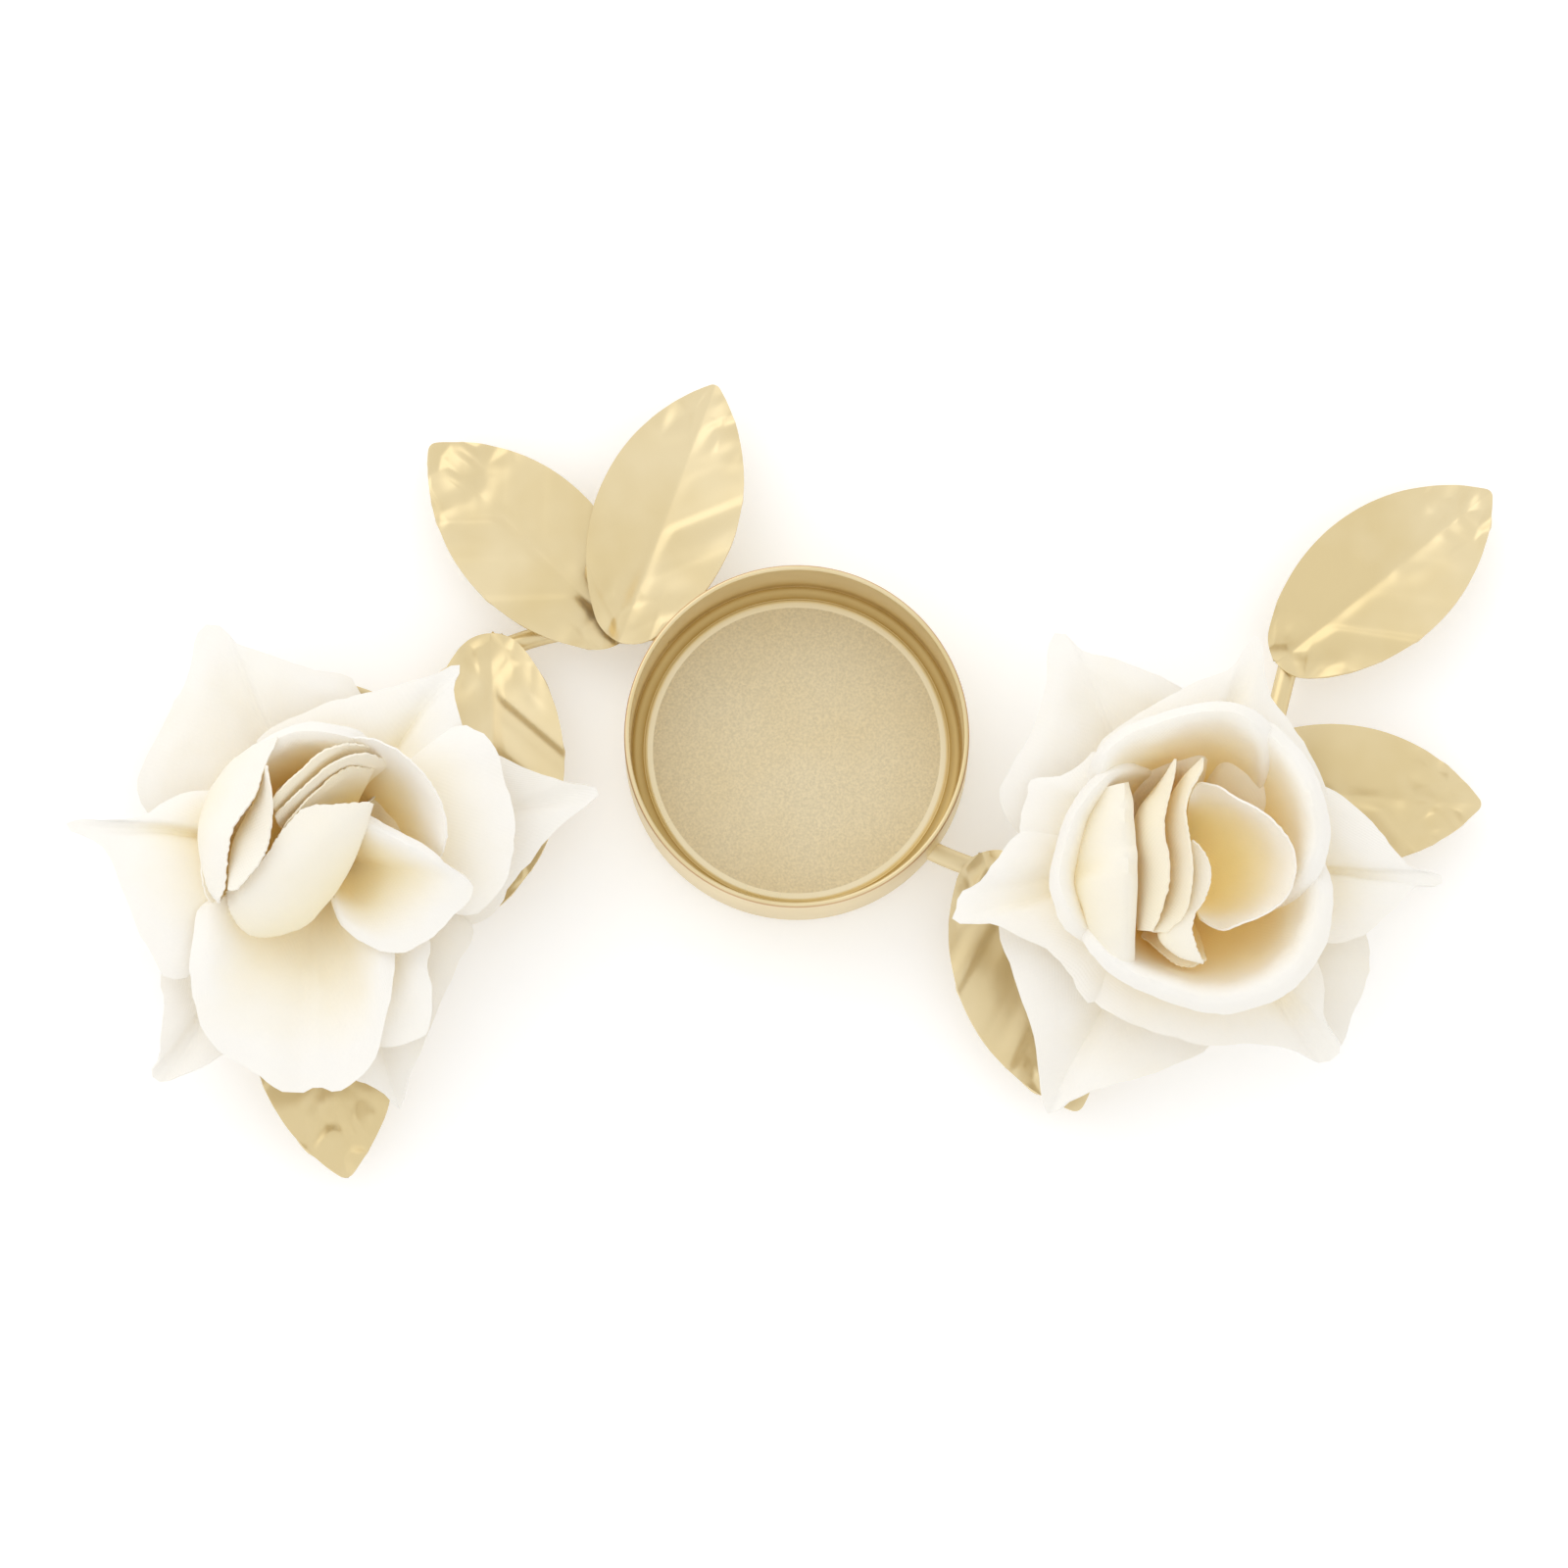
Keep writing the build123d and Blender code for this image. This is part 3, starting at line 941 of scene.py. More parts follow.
@dataclass(frozen=True)
class Petal:
    """One petal: its rim as places in the photograph with heights, and its side view or its own inner rows.

    A place is a pixel column, a pixel row and a height, measured on the leaning rose. Depth is how deep the
    cloth is dyed at the root and at the rim. Lengths are in millimetres.
    """

    rim: Row
    form: Form = Form.LYING
    rows: tuple[Row, ...] = ()
    depth: Pair = (0.38, 0.0)
    crumple: float = 0.35
    fray: float = 0.12
    root: float = 2.6
    wide_crease: float = 7.0
    small_crease: float = 2.6
    small_share: float = 0.4
    columns: int = 56
    stations: int = 30

    def traced(self, spots: Row, seat: Seat) -> list[Vector]:
        """Draw a smooth line through places in the photograph.

        Args:
            spots: The places.
            seat: The layer's place on the peg.

        Returns:
            As many points as the petal has columns.
        """
        points = []
        for across, down, height in spots:
            point = VIEW.place(across, down, height)
            # A place's true height hangs on where it lies, and three rounds settle both
            for _ in range(3):
                point = VIEW.place(across, down, height + seat.rise(point) / MM)
            points.append(point)
        return smooth_path(points, self.columns)

    def guides(self, seat: Seat) -> list[list[Vector]]:
        """Find the points that each column goes through, from the petal's own rows or from its side view.

        Args:
            seat: The layer's place on the peg.

        Returns:
            One short list of points for each column.
        """
        rim = self.traced(self.rim, seat)
        if self.rows:
            inner = [self.traced(row, seat) for row in self.rows]
            return [[row[k] for row in inner] + [rim[k]] for k in range(self.columns)]
        guides = []
        for end in rim:
            out = Vector((end.x - seat.hub.x, end.y - seat.hub.y, 0.0))
            root = seat.hub + out.normalized() * min(self.root * MM, out.length * 0.5)
            root.z += seat.rise(root)
            x, y, z = end.x - root.x, end.y - root.y, end.z - root.z
            guides.append(
                [Vector((root.x + a * x, root.y + a * y, root.z + b * z)) for a, b in self.form.value]
            )
        return guides

    def net(self, seat: Seat, seed: float) -> list[list[Vector]]:
        """Lay the petal's surface out as columns of points from root to rim, with its creases.

        Args:
            seat: The layer's place on the peg.
            seed: Picks the petal's own creases.

        Returns:
            One list of points for each column.
        """
        net = []
        luck = random.Random(seed)
        wide_start, small_start = Vector((seed, 0.0, 0.0)), Vector((0.0, seed, 0.0))
        for guide in self.guides(seat):
            column = smooth_path(guide, self.stations)
            fray = luck.uniform(-self.fray, self.fray) * MM
            for k, point in enumerate(column):
                share = k / (self.stations - 1)
                wide = noise.noise_vector(point / (self.wide_crease * MM) + wide_start)
                small = noise.noise_vector(point / (self.small_crease * MM) + small_start)
                # The creases start at the stiff root and are full at two fifths of the way out
                point += (wide + self.small_share * small) * self.crumple * MM * eased(share * 2.5)
            column[-1] += (column[-1] - column[-2]).normalized() * fray
            net.append(column)
        return net


@dataclass(frozen=True)
class PetalLayer:
    """One layer of a rose: petals cut from one square of cloth, joined by a hub on the peg.

    Its height is the hub's, along the peg from the wire's middle. Lengths are in millimetres, the fan is in
    radians.
    """

    name: str
    height: float
    petals: tuple[Petal, ...]
    cut: float
    held: Hold = Hold.GATHERED
    dyed: float = 1.0
    sheet: float = 0.3
    hub_radius: float = 3.6
    hub_sides: int = 24
    hub_dye: float = 0.5
    flat_root: float = 3.0
    widest_fan: float = 3.0
    undyed_from: float = 0.3
    fade: float = 0.65
    least_share: float = 0.31

    def build(self, side: str, seat: Seat, cloth: Material) -> None:
        """Form the layer's petals and join them round the hub.

        Args:
            side: Which rose.
            seat: The layer's place on the peg.
            cloth: The petals' finish.
        """
        whole = bmesh.new()
        whole.loops.layers.uv.new("cut")
        dye = whole.verts.layers.float.new("depth")
        area = 0.0
        for k, petal in enumerate(self.petals):
            seed = PETAL_STEP * k + LETTER_STEP * len(self.name) + (0.0 if side == "left" else ROSE_STEP)
            area += self.add_petal(whole, petal, petal.net(seat, seed))
        radius, place = self.hub_radius * MM, standing(seat.hub, seat.axis)
        hub = bmesh.ops.create_circle(
            whole, cap_ends=True, segments=self.hub_sides, radius=radius, matrix=place
        )
        for vertex in hub["verts"]:
            vertex[dye] = self.hub_dye
        area += math.pi * radius**2
        face_up(whole)
        name = f"{side}_rose_{self.name}"
        piece = finished(f"{name}_cloth", whole, [cloth], f"{name}_petals", self.sheet * MM)
        LOG.info("%s: cut area %.0f square mm", piece.name, area / MM**2)

    def add_petal(self, whole: Shell, petal: Petal, net: list[list[Vector]]) -> float:
        """Add one petal to the layer as a grid shaped to its net, with its dye and its place in the flat cut.

        Args:
            whole: The layer's bmesh.
            petal: The petal.
            net: Its columns of points.

        Returns:
            The petal's area, in square metres.
        """
        cut_map, dye = whole.loops.layers.uv["cut"], whole.verts.layers.float["depth"]
        wide, tall = len(net), len(net[0])
        made = bmesh.ops.create_grid(whole, x_segments=wide - 1, y_segments=tall - 1, size=0.5)["verts"]
        rim_length = sum((b[-1] - a[-1]).length for a, b in zip(net, net[1:]))
        reach = sum(sum((b - a).length for a, b in zip(column, column[1:])) for column in net) / wide
        fan = min(rim_length / reach, self.widest_fan)
        root, rim = petal.depth
        flat = {}
        for vertex in made:
            i, j = round((vertex.co.x + 0.5) * (wide - 1)), round((vertex.co.y + 0.5) * (tall - 1))
            vertex.co = net[i][j]
            share = j / (tall - 1)
            out = reach * share + self.flat_root * MM
            angle = (i / (wide - 1) - 0.5) * fan
            flat[vertex] = (out * math.sin(angle), out * math.cos(angle))
            vertex[dye] = self.dyed * (root + (rim - root) * eased((share - self.undyed_from) / self.fade))
        area = 0.0
        for face in {face for vertex in made for face in vertex.link_faces}:
            area += face.calc_area()
            for loop in face.loops:
                loop[cut_map].uv = flat[loop.vert]
        return area


@dataclass(frozen=True)
class ClothRose:
    """One rose: its layers of petals, from the outside in, on a moulded calyx that stands on the wire's post.

    Its share is how far along the wire it stands. Its lean is an angle and a heading, in degrees.
    """

    side: str
    share: float
    lean: Pair
    layers: tuple[PetalLayer, ...]

    def build(self, branch: BranchWire, cloth: Material, hidden: dict[str, Material]) -> None:
        """Build every layer and dress the CAD's calyx, bud core and post.

        Args:
            branch: The wire that carries the rose.
            cloth: Finish of the petals.
            hidden: Finish of each of the CAD's own pieces, by its name in the rose.
        """
        tilt, towards = math.radians(self.lean[0]), heading_vector(math.radians(self.lean[1]))
        axis = towards * math.sin(tilt) + Vector((0.0, 0.0, math.cos(tilt)))
        slope = -math.tan(tilt) * towards
        for layer in self.layers:
            hub = branch.at(self.share) + axis * layer.height * MM
            layer.build(self.side, Seat(hub, axis, slope), cloth)
        for part, material in hidden.items():
            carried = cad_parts[f"{self.side}_rose_{part}"]
            carried.data.materials.clear()
            carried.data.materials.append(material)
            LOG.info("%s_rose_%s: dressed in %s", self.side, part, material.name)


RIGHT_OUTER = (
    Petal((
        (1228, 858, 12.8), (1250, 800, 14.4), (1242, 736, 15.8), (1206, 703, 16.4), (1168, 682, 16.6),
        (1132, 670, 16.4), (1104, 664, 16.0), (1082, 645, 15.4), (1071, 655, 15.6), (1067, 700, 16.0),
        (1052, 748, 16.0), (1022, 806, 15.2), (1036, 846, 14.4), (1090, 872, 13.3), (1150, 880, 12.5),
    )),
    Petal((
        (1226, 905, 12.5), (1256, 960, 14.2), (1256, 1020, 15.0), (1235, 1067, 15.0), (1196, 1088, 15.2),
        (1160, 1099, 15.3), (1115, 1113, 15.0), (1087, 1126, 14.4), (1070, 1137, 13.6), (1064, 1120, 14.2),
        (1061, 1090, 15.2), (1054, 1056, 15.8), (1041, 1021, 16.2), (1030, 985, 16.0), (1020, 943, 15.4),
        (1040, 905, 14.2), (1110, 888, 13.0), (1160, 884, 12.3),
    )),
    Petal((
        (1232, 868, 12.6), (1290, 860, 14.0), (1350, 890, 15.3), (1392, 950, 15.8), (1397, 985, 15.8),
        (1388, 1015, 15.6), (1376, 1043, 15.2), (1366, 1070, 14.7), (1340, 1072, 14.4), (1300, 1040, 14.2),
        (1250, 975, 13.3), (1220, 915, 12.5),
    )),
    Petal((
        (1222, 862, 12.6), (1228, 800, 14.0), (1262, 752, 15.2), (1300, 745, 15.6), (1325, 775, 15.6),
        (1345, 830, 15.2), (1330, 868, 14.2), (1270, 878, 13.0),
    )),
    Petal((
        (1175, 865, 12.5), (1110, 835, 13.6), (1065, 845, 14.4), (1040, 880, 14.4), (1045, 920, 14.2),
        (1080, 940, 13.6), (1150, 915, 12.8),
    )),
)
RIGHT_SECOND = (
    Petal((
        (1165, 862, 14.3), (1125, 810, 18.4), (1118, 766, 20.5), (1136, 747, 21.2), (1168, 724, 21.8),
        (1206, 703, 22.2), (1231, 692, 22.2), (1259, 678, 21.8), (1268, 664, 21.4), (1281, 650, 21.0),
        (1289, 655, 21.2), (1290, 680, 21.8), (1296, 711, 22.0), (1315, 734, 22.0), (1332, 759, 21.8),
        (1344, 780, 21.4), (1354, 806, 20.6), (1350, 846, 18.8), (1290, 874, 14.9),
    ), Form.FLARED),
    Petal((
        (1250, 850, 14.3), (1300, 815, 18.3), (1340, 800, 19.6), (1378, 818, 20.4), (1402, 842, 20.6),
        (1421, 864, 20.4), (1441, 885, 20.0), (1473, 893, 19.4), (1470, 902, 19.4), (1443, 903, 19.8),
        (1436, 911, 20.0), (1420, 931, 20.0), (1395, 953, 19.6), (1350, 962, 18.6), (1270, 925, 14.6),
    ), Form.FLARED),
    Petal((
        (1258, 908, 14.3), (1325, 950, 17.6), (1352, 1000, 19.6), (1352, 1036, 20.2), (1364, 1062, 20.0),
        (1367, 1072, 19.6), (1352, 1086, 19.0), (1339, 1080, 19.4), (1322, 1072, 19.8), (1287, 1067, 20.2),
        (1235, 1066, 20.4), (1202, 1060, 20.4), (1160, 1048, 20.0), (1118, 1025, 19.4), (1092, 980, 18.3),
        (1150, 905, 14.3),
    ), Form.FLARED),
    Petal((
        (1170, 905, 14.3), (1128, 985, 17.9), (1117, 1022, 19.2), (1090, 990, 20.0), (1066, 969, 20.4),
        (1034, 951, 20.4), (1016, 943, 20.2), (992, 943, 19.8), (974, 942, 19.4), (975, 930, 19.4),
        (981, 910, 19.6), (996, 902, 20.0), (1006, 891, 20.4), (1017, 877, 20.6), (1038, 852, 20.4),
        (1075, 840, 19.0), (1150, 870, 14.3),
    ), Form.FLARED),
    Petal((
        (1172, 858, 14.3), (1140, 780, 18.6), (1118, 768, 20.2), (1104, 782, 20.8), (1080, 795, 21.0),
        (1052, 797, 20.6), (1049, 812, 20.4), (1044, 829, 20.2), (1041, 848, 20.0), (1050, 880, 19.0),
        (1090, 905, 16.9), (1150, 900, 14.3),
    ), Form.FLARED),
)
RIGHT_BOWL = (
    Petal((
        (1108, 808, 22.0), (1116, 772, 26.4), (1139, 748, 27.8), (1175, 731, 28.2), (1217, 718, 28.4),
        (1252, 716, 28.2), (1278, 724, 27.8), (1298, 744, 26.6), (1304, 778, 23.0), (1294, 808, 18.0),
    ), Form.ROLLED, depth=(1.0, 0.0)),
    Petal((
        (1262, 732, 21.0), (1298, 737, 25.4), (1328, 765, 26.8), (1346, 797, 27.2), (1356, 830, 27.2),
        (1357, 855, 27.0), (1350, 884, 26.6), (1334, 912, 24.6), (1304, 932, 20.0),
    ), Form.ROLLED, depth=(1.0, 0.0)),
    Petal((
        (1340, 862, 20.0), (1358, 896, 24.4), (1358, 935, 26.2), (1350, 968, 26.8), (1336, 996, 27.0),
        (1315, 1014, 27.2), (1287, 1026, 27.2), (1255, 1034, 27.2), (1224, 1033, 27.2), (1189, 1022, 27.2),
        (1153, 1007, 27.2), (1125, 986, 26.8), (1106, 962, 25.4), (1102, 930, 20.0),
    ), Form.ROLLED, depth=(1.0, 0.0), columns=72),
    Petal((
        (1128, 972, 20.0), (1090, 952, 25.0), (1074, 916, 26.6), (1071, 890, 27.0), (1078, 860, 27.2),
        (1091, 824, 27.2), (1112, 797, 27.0), (1140, 776, 25.4), (1172, 778, 20.0),
    ), Form.ROLLED, depth=(0.95, 0.0)),
)
RIGHT_INNER = (
    Petal((
        (1150, 798, 27.2), (1155, 830, 29.0), (1157, 861, 29.4), (1158, 872, 30.0), (1157, 910, 29.8),
        (1156, 950, 28.8), (1155, 982, 27.0),
    ), rows=(
        ((1180, 850, 15.4), (1176, 885, 15.4), (1180, 915, 15.4)),
        ((1140, 824, 20.4), (1128, 852, 19.8), (1124, 888, 19.6), (1130, 928, 19.8), (1142, 962, 20.6)),
        ((1120, 810, 25.2), (1102, 850, 25.0), (1096, 890, 24.8), (1098, 911, 24.6), (1104, 921, 25.6),
         (1112, 945, 25.5), (1130, 980, 25.2)),
        ((1132, 804, 27.8), (1122, 850, 28.6), (1117, 888, 28.2), (1118, 900, 29.8), (1125, 940, 29.3),
         (1137, 983, 27.4)),
        ((1146, 800, 28.4), (1147, 834, 30.2), (1147, 865, 30.3), (1147, 877, 31.5), (1148, 912, 31.1),
         (1148, 950, 30.1), (1150, 983, 28.0)),
    ), depth=(0.7, 0.18), fray=0.0),
    Petal((
        (1214, 812, 27.0), (1222, 800, 28.4), (1236, 802, 29.2), (1258, 815, 29.8), (1290, 830, 30.0),
        (1311, 853, 29.8), (1322, 877, 29.6), (1319, 902, 29.2), (1308, 919, 28.8), (1287, 934, 28.4),
        (1262, 945, 27.8), (1245, 947, 27.0), (1227, 936, 26.0),
    ), rows=(
        ((1208, 868, 19.0), (1212, 884, 19.0), (1210, 900, 19.0)),
        ((1210, 846, 20.4), (1240, 862, 21.2), (1246, 890, 21.0), (1232, 912, 20.6), (1212, 914, 20.0)),
        ((1212, 824, 23.4), (1262, 838, 24.4), (1288, 878, 24.2), (1268, 922, 23.4), (1220, 926, 22.4)),
    ), depth=(1.0, 0.05)),
    Petal((
        (1165, 955, 22.0), (1178, 966, 24.0), (1192, 978, 25.0), (1212, 987, 25.2), (1232, 980, 24.6),
    ), Form.CUPPED, depth=(1.0, 0.4)),
)
RIGHT_HEART = (
    Petal((
        (1199, 774, 30.8), (1196, 796, 31.6), (1189, 822, 32.0), (1186, 846, 32.2), (1191, 877, 32.2),
        (1191, 905, 31.8), (1183, 936, 30.8), (1175, 951, 30.0),
    ), rows=(
        ((1196, 830, 16.5), (1186, 880, 16.5), (1190, 920, 16.5)),
        ((1196, 786, 22.0), (1170, 824, 20.0), (1163, 870, 19.0), (1165, 945, 21.0)),
        ((1198, 776, 29.8), (1178, 807, 27.6), (1164, 824, 27.0), (1157, 848, 26.8), (1159, 891, 26.8),
         (1160, 949, 27.6)),
    ), depth=(1.0, 0.3), crumple=0.2),
    Petal((
        (1226, 773, 31.0), (1224, 787, 31.8), (1213, 807, 32.2), (1208, 828, 32.4), (1212, 856, 32.6),
        (1215, 881, 32.6), (1213, 909, 32.2), (1207, 932, 31.4), (1190, 952, 30.2),
    ), rows=(
        ((1214, 830, 17.0), (1200, 880, 17.0), (1204, 925, 17.0)),
        ((1216, 790, 22.0), (1194, 826, 21.0), (1194, 870, 21.0), (1184, 945, 22.0)),
        ((1224, 775, 30.2), (1208, 791, 29.0), (1195, 812, 28.2), (1189, 840, 28.0), (1192, 877, 28.2),
         (1190, 916, 28.4), (1175, 951, 29.0)),
    ), depth=(1.0, 0.3), crumple=0.2),
    Petal((
        (1216, 858, 31.0), (1229, 870, 31.4), (1234, 891, 31.6), (1229, 916, 31.4), (1218, 934, 31.0),
        (1217, 955, 30.4), (1228, 984, 29.0),
    ), rows=(
        ((1214, 870, 17.5), (1212, 900, 17.5), (1208, 930, 17.5)),
        ((1214, 866, 24.0), (1216, 895, 23.0), (1204, 930, 23.0), (1186, 955, 24.0)),
        ((1214, 862, 30.0), (1216, 892, 29.6), (1206, 925, 29.2), (1182, 953, 28.8), (1200, 975, 28.4),
         (1226, 984, 28.6)),
    ), depth=(1.0, 0.15), crumple=0.2),
)
LEFT_OUTER = (
    Petal((
        (338, 845, 12.5), (372, 800, 14.2), (388, 745, 15.4), (368, 709, 16.2), (354, 689, 16.4),
        (316, 682, 16.6), (277, 669, 16.6), (239, 655, 16.2), (229, 642, 15.6), (216, 636, 15.4),
        (203, 641, 15.6), (197, 668, 16.0), (191, 693, 16.2), (170, 730, 16.2), (151, 768, 16.0),
        (140, 803, 15.6), (149, 830, 15.2), (200, 855, 13.9), (280, 868, 12.8),
    )),
    Petal((
        (352, 862, 12.8), (430, 800, 14.7), (480, 768, 15.8), (510, 772, 16.4), (538, 784, 16.6),
        (576, 797, 16.2), (613, 806, 15.4), (603, 818, 15.8), (576, 838, 16.2), (556, 857, 16.2),
        (549, 868, 16.0), (522, 902, 15.6), (511, 925, 15.2), (480, 944, 14.7), (430, 925, 13.9),
        (370, 890, 12.8),
    )),
    Petal((
        (352, 885, 12.8), (420, 920, 14.2), (482, 944, 15.4), (469, 983, 15.6), (457, 1010, 15.6),
        (442, 1040, 15.6), (430, 1065, 15.4), (417, 1094, 15.0), (407, 1131, 13.9), (398, 1120, 14.4),
        (384, 1110, 15.0), (361, 1100, 15.4), (335, 1060, 15.4), (325, 1000, 14.7), (330, 920, 13.0),
    )),
    Petal((
        (318, 885, 12.8), (290, 950, 14.2), (270, 1030, 15.2), (245, 1070, 15.4), (228, 1074, 15.2),
        (193, 1094, 14.7), (162, 1105, 13.6), (155, 1092, 14.2), (163, 1078, 15.0), (164, 1059, 15.4),
        (168, 1021, 15.8), (166, 998, 15.8), (175, 950, 15.4), (230, 905, 13.9), (290, 882, 12.8),
    )),
    Petal((
        (310, 865, 12.5), (240, 830, 13.9), (170, 820, 14.7), (150, 850, 14.7), (150, 900, 14.7),
        (175, 930, 14.4), (240, 905, 13.6), (300, 882, 12.6),
    )),
)
LEFT_SECOND = (
    Petal((
        (322, 850, 14.3), (275, 800, 18.3), (262, 760, 20.0), (285, 738, 20.6), (323, 722, 21.0),
        (368, 709, 21.2), (407, 699, 21.0), (438, 690, 20.6), (469, 678, 19.8), (463, 696, 20.4),
        (467, 722, 20.8), (473, 745, 20.8), (470, 790, 19.6), (400, 845, 15.3),
    ), Form.FLARED),
    Petal((
        (312, 858, 14.3), (250, 815, 17.6), (201, 806, 19.4), (170, 818, 20.0), (147, 832, 20.2),
        (117, 835, 20.0), (82, 834, 19.4), (67, 841, 19.0), (82, 848, 19.4), (97, 856, 19.8),
        (113, 876, 20.2), (124, 906, 20.4), (140, 944, 20.4), (159, 979, 20.0), (163, 990, 19.8),
        (174, 1000, 19.6), (193, 996, 19.4), (197, 944, 19.0), (240, 905, 17.3), (300, 885, 14.6),
    ), Form.FLARED),
    Petal((
        (318, 890, 14.3), (240, 905, 19.0), (205, 925, 21.0), (196, 960, 22.0), (195, 995, 22.2),
        (199, 1029, 22.0), (212, 1059, 21.6), (231, 1077, 21.2), (254, 1091, 21.0), (277, 1105, 20.8),
        (289, 1113, 20.6), (308, 1115, 20.4), (323, 1109, 20.6), (346, 1112, 20.6), (365, 1098, 20.8),
        (384, 1080, 21.2), (394, 1040, 21.8), (401, 1000, 21.8), (402, 972, 21.4), (390, 930, 19.6),
        (345, 890, 14.9),
    ), Form.RAISED, columns=72),
    Petal((
        (345, 885, 14.3), (400, 905, 17.9), (438, 957, 19.6), (436, 983, 20.0), (441, 1013, 20.0),
        (437, 1051, 19.6), (430, 1060, 19.4), (407, 1066, 19.2), (384, 1069, 19.0), (360, 1040, 17.0),
        (352, 960, 13.4), (340, 905, 11.6),
    ), Form.FLARED),
    Petal((
        (345, 855, 14.3), (400, 800, 18.6), (450, 750, 20.6), (472, 742, 21.4), (488, 747, 21.8),
        (501, 757, 22.0), (509, 772, 22.0), (515, 799, 22.0), (524, 837, 21.8), (523, 868, 21.6),
        (515, 902, 21.2), (499, 922, 20.8), (482, 933, 20.4), (450, 925, 19.4), (380, 890, 15.3),
    ), Form.FLARED),
)
LEFT_BOWL = (
    Petal((
        (240, 800, 23.5), (256, 766, 26.0), (285, 746, 27.2), (308, 739, 27.8), (338, 741, 27.6),
        (364, 748, 26.0), (384, 768, 21.0),
    ), Form.ROLLED, depth=(1.0, 0.0)),
    Petal((
        (328, 776, 26.4), (342, 758, 27.8), (369, 753, 28.6), (400, 763, 29.0), (430, 787, 29.2),
        (447, 818, 29.0), (454, 846, 28.2), (453, 864, 26.6), (446, 880, 24.0),
    ), Form.CUPPED, depth=(1.0, 0.0)),
    Petal((
        (352, 868, 17), (366, 840, 23), (375, 834, 26), (400, 848, 27), (423, 860, 27.2), (454, 880, 26.6),
        (484, 902, 25), (478, 921, 24.2), (462, 936, 23.4), (438, 958, 22.8), (404, 972, 22.6),
        (368, 960, 22.4), (345, 935, 21.6), (338, 905, 19),
    ), Form.RAISED, depth=(0.7, 0.0)),
    Petal((
        (250, 800, 21.0), (222, 820, 22.2), (208, 850, 22.6), (204, 880, 22.6), (212, 915, 22.0),
        (236, 940, 20.6),
    ), Form.CUPPED, depth=(0.9, 0.1)),
)
LEFT_INNER = (
    Petal((
        (234, 906, 26.0), (250, 895, 27.5), (270, 876, 29.0), (289, 845, 30.5), (308, 826, 31.0),
        (319, 822, 31.2), (346, 820, 31.4), (376, 817, 31.0),
    ), rows=(
        ((300, 900, 16.5), (322, 905, 16.5), (345, 890, 16.5)),
        ((248, 925, 20.0), (270, 938, 20.0), (305, 930, 20.0), (335, 900, 21.0), (352, 870, 23.0)),
        ((232, 910, 24.0), (237, 932, 23.6), (258, 952, 23.6), (300, 946, 24.0), (323, 929, 24.6),
         (350, 893, 25.8), (366, 860, 27.0), (377, 820, 28.6)),
        ((233, 908, 25.2), (250, 915, 27.2), (285, 900, 29.0), (325, 868, 30.4), (376, 818, 30.6)),
    ), depth=(0.55, 0.12)),
    Petal((
        (285, 753, 29.5), (270, 784, 30.2), (262, 809, 30.6), (247, 830, 30.6), (236, 853, 30.2),
        (232, 876, 29.4), (230, 900, 28.2), (224, 921, 27.0),
    ), rows=(
        ((300, 850, 16.5), (290, 870, 16.5), (295, 895, 16.5)),
        ((262, 790, 20.0), (230, 830, 19.0), (222, 880, 19.5), (234, 912, 21.0)),
        ((256, 764, 27.6), (231, 784, 26.6), (212, 814, 26.0), (205, 849, 25.8), (208, 879, 26.0),
         (214, 906, 26.2), (224, 921, 26.6)),
        ((268, 758, 29.2), (246, 792, 29.2), (230, 826, 29.0), (219, 856, 28.6), (219, 884, 28.0),
         (224, 920, 26.8)),
    ), depth=(0.8, 0.05)),
)
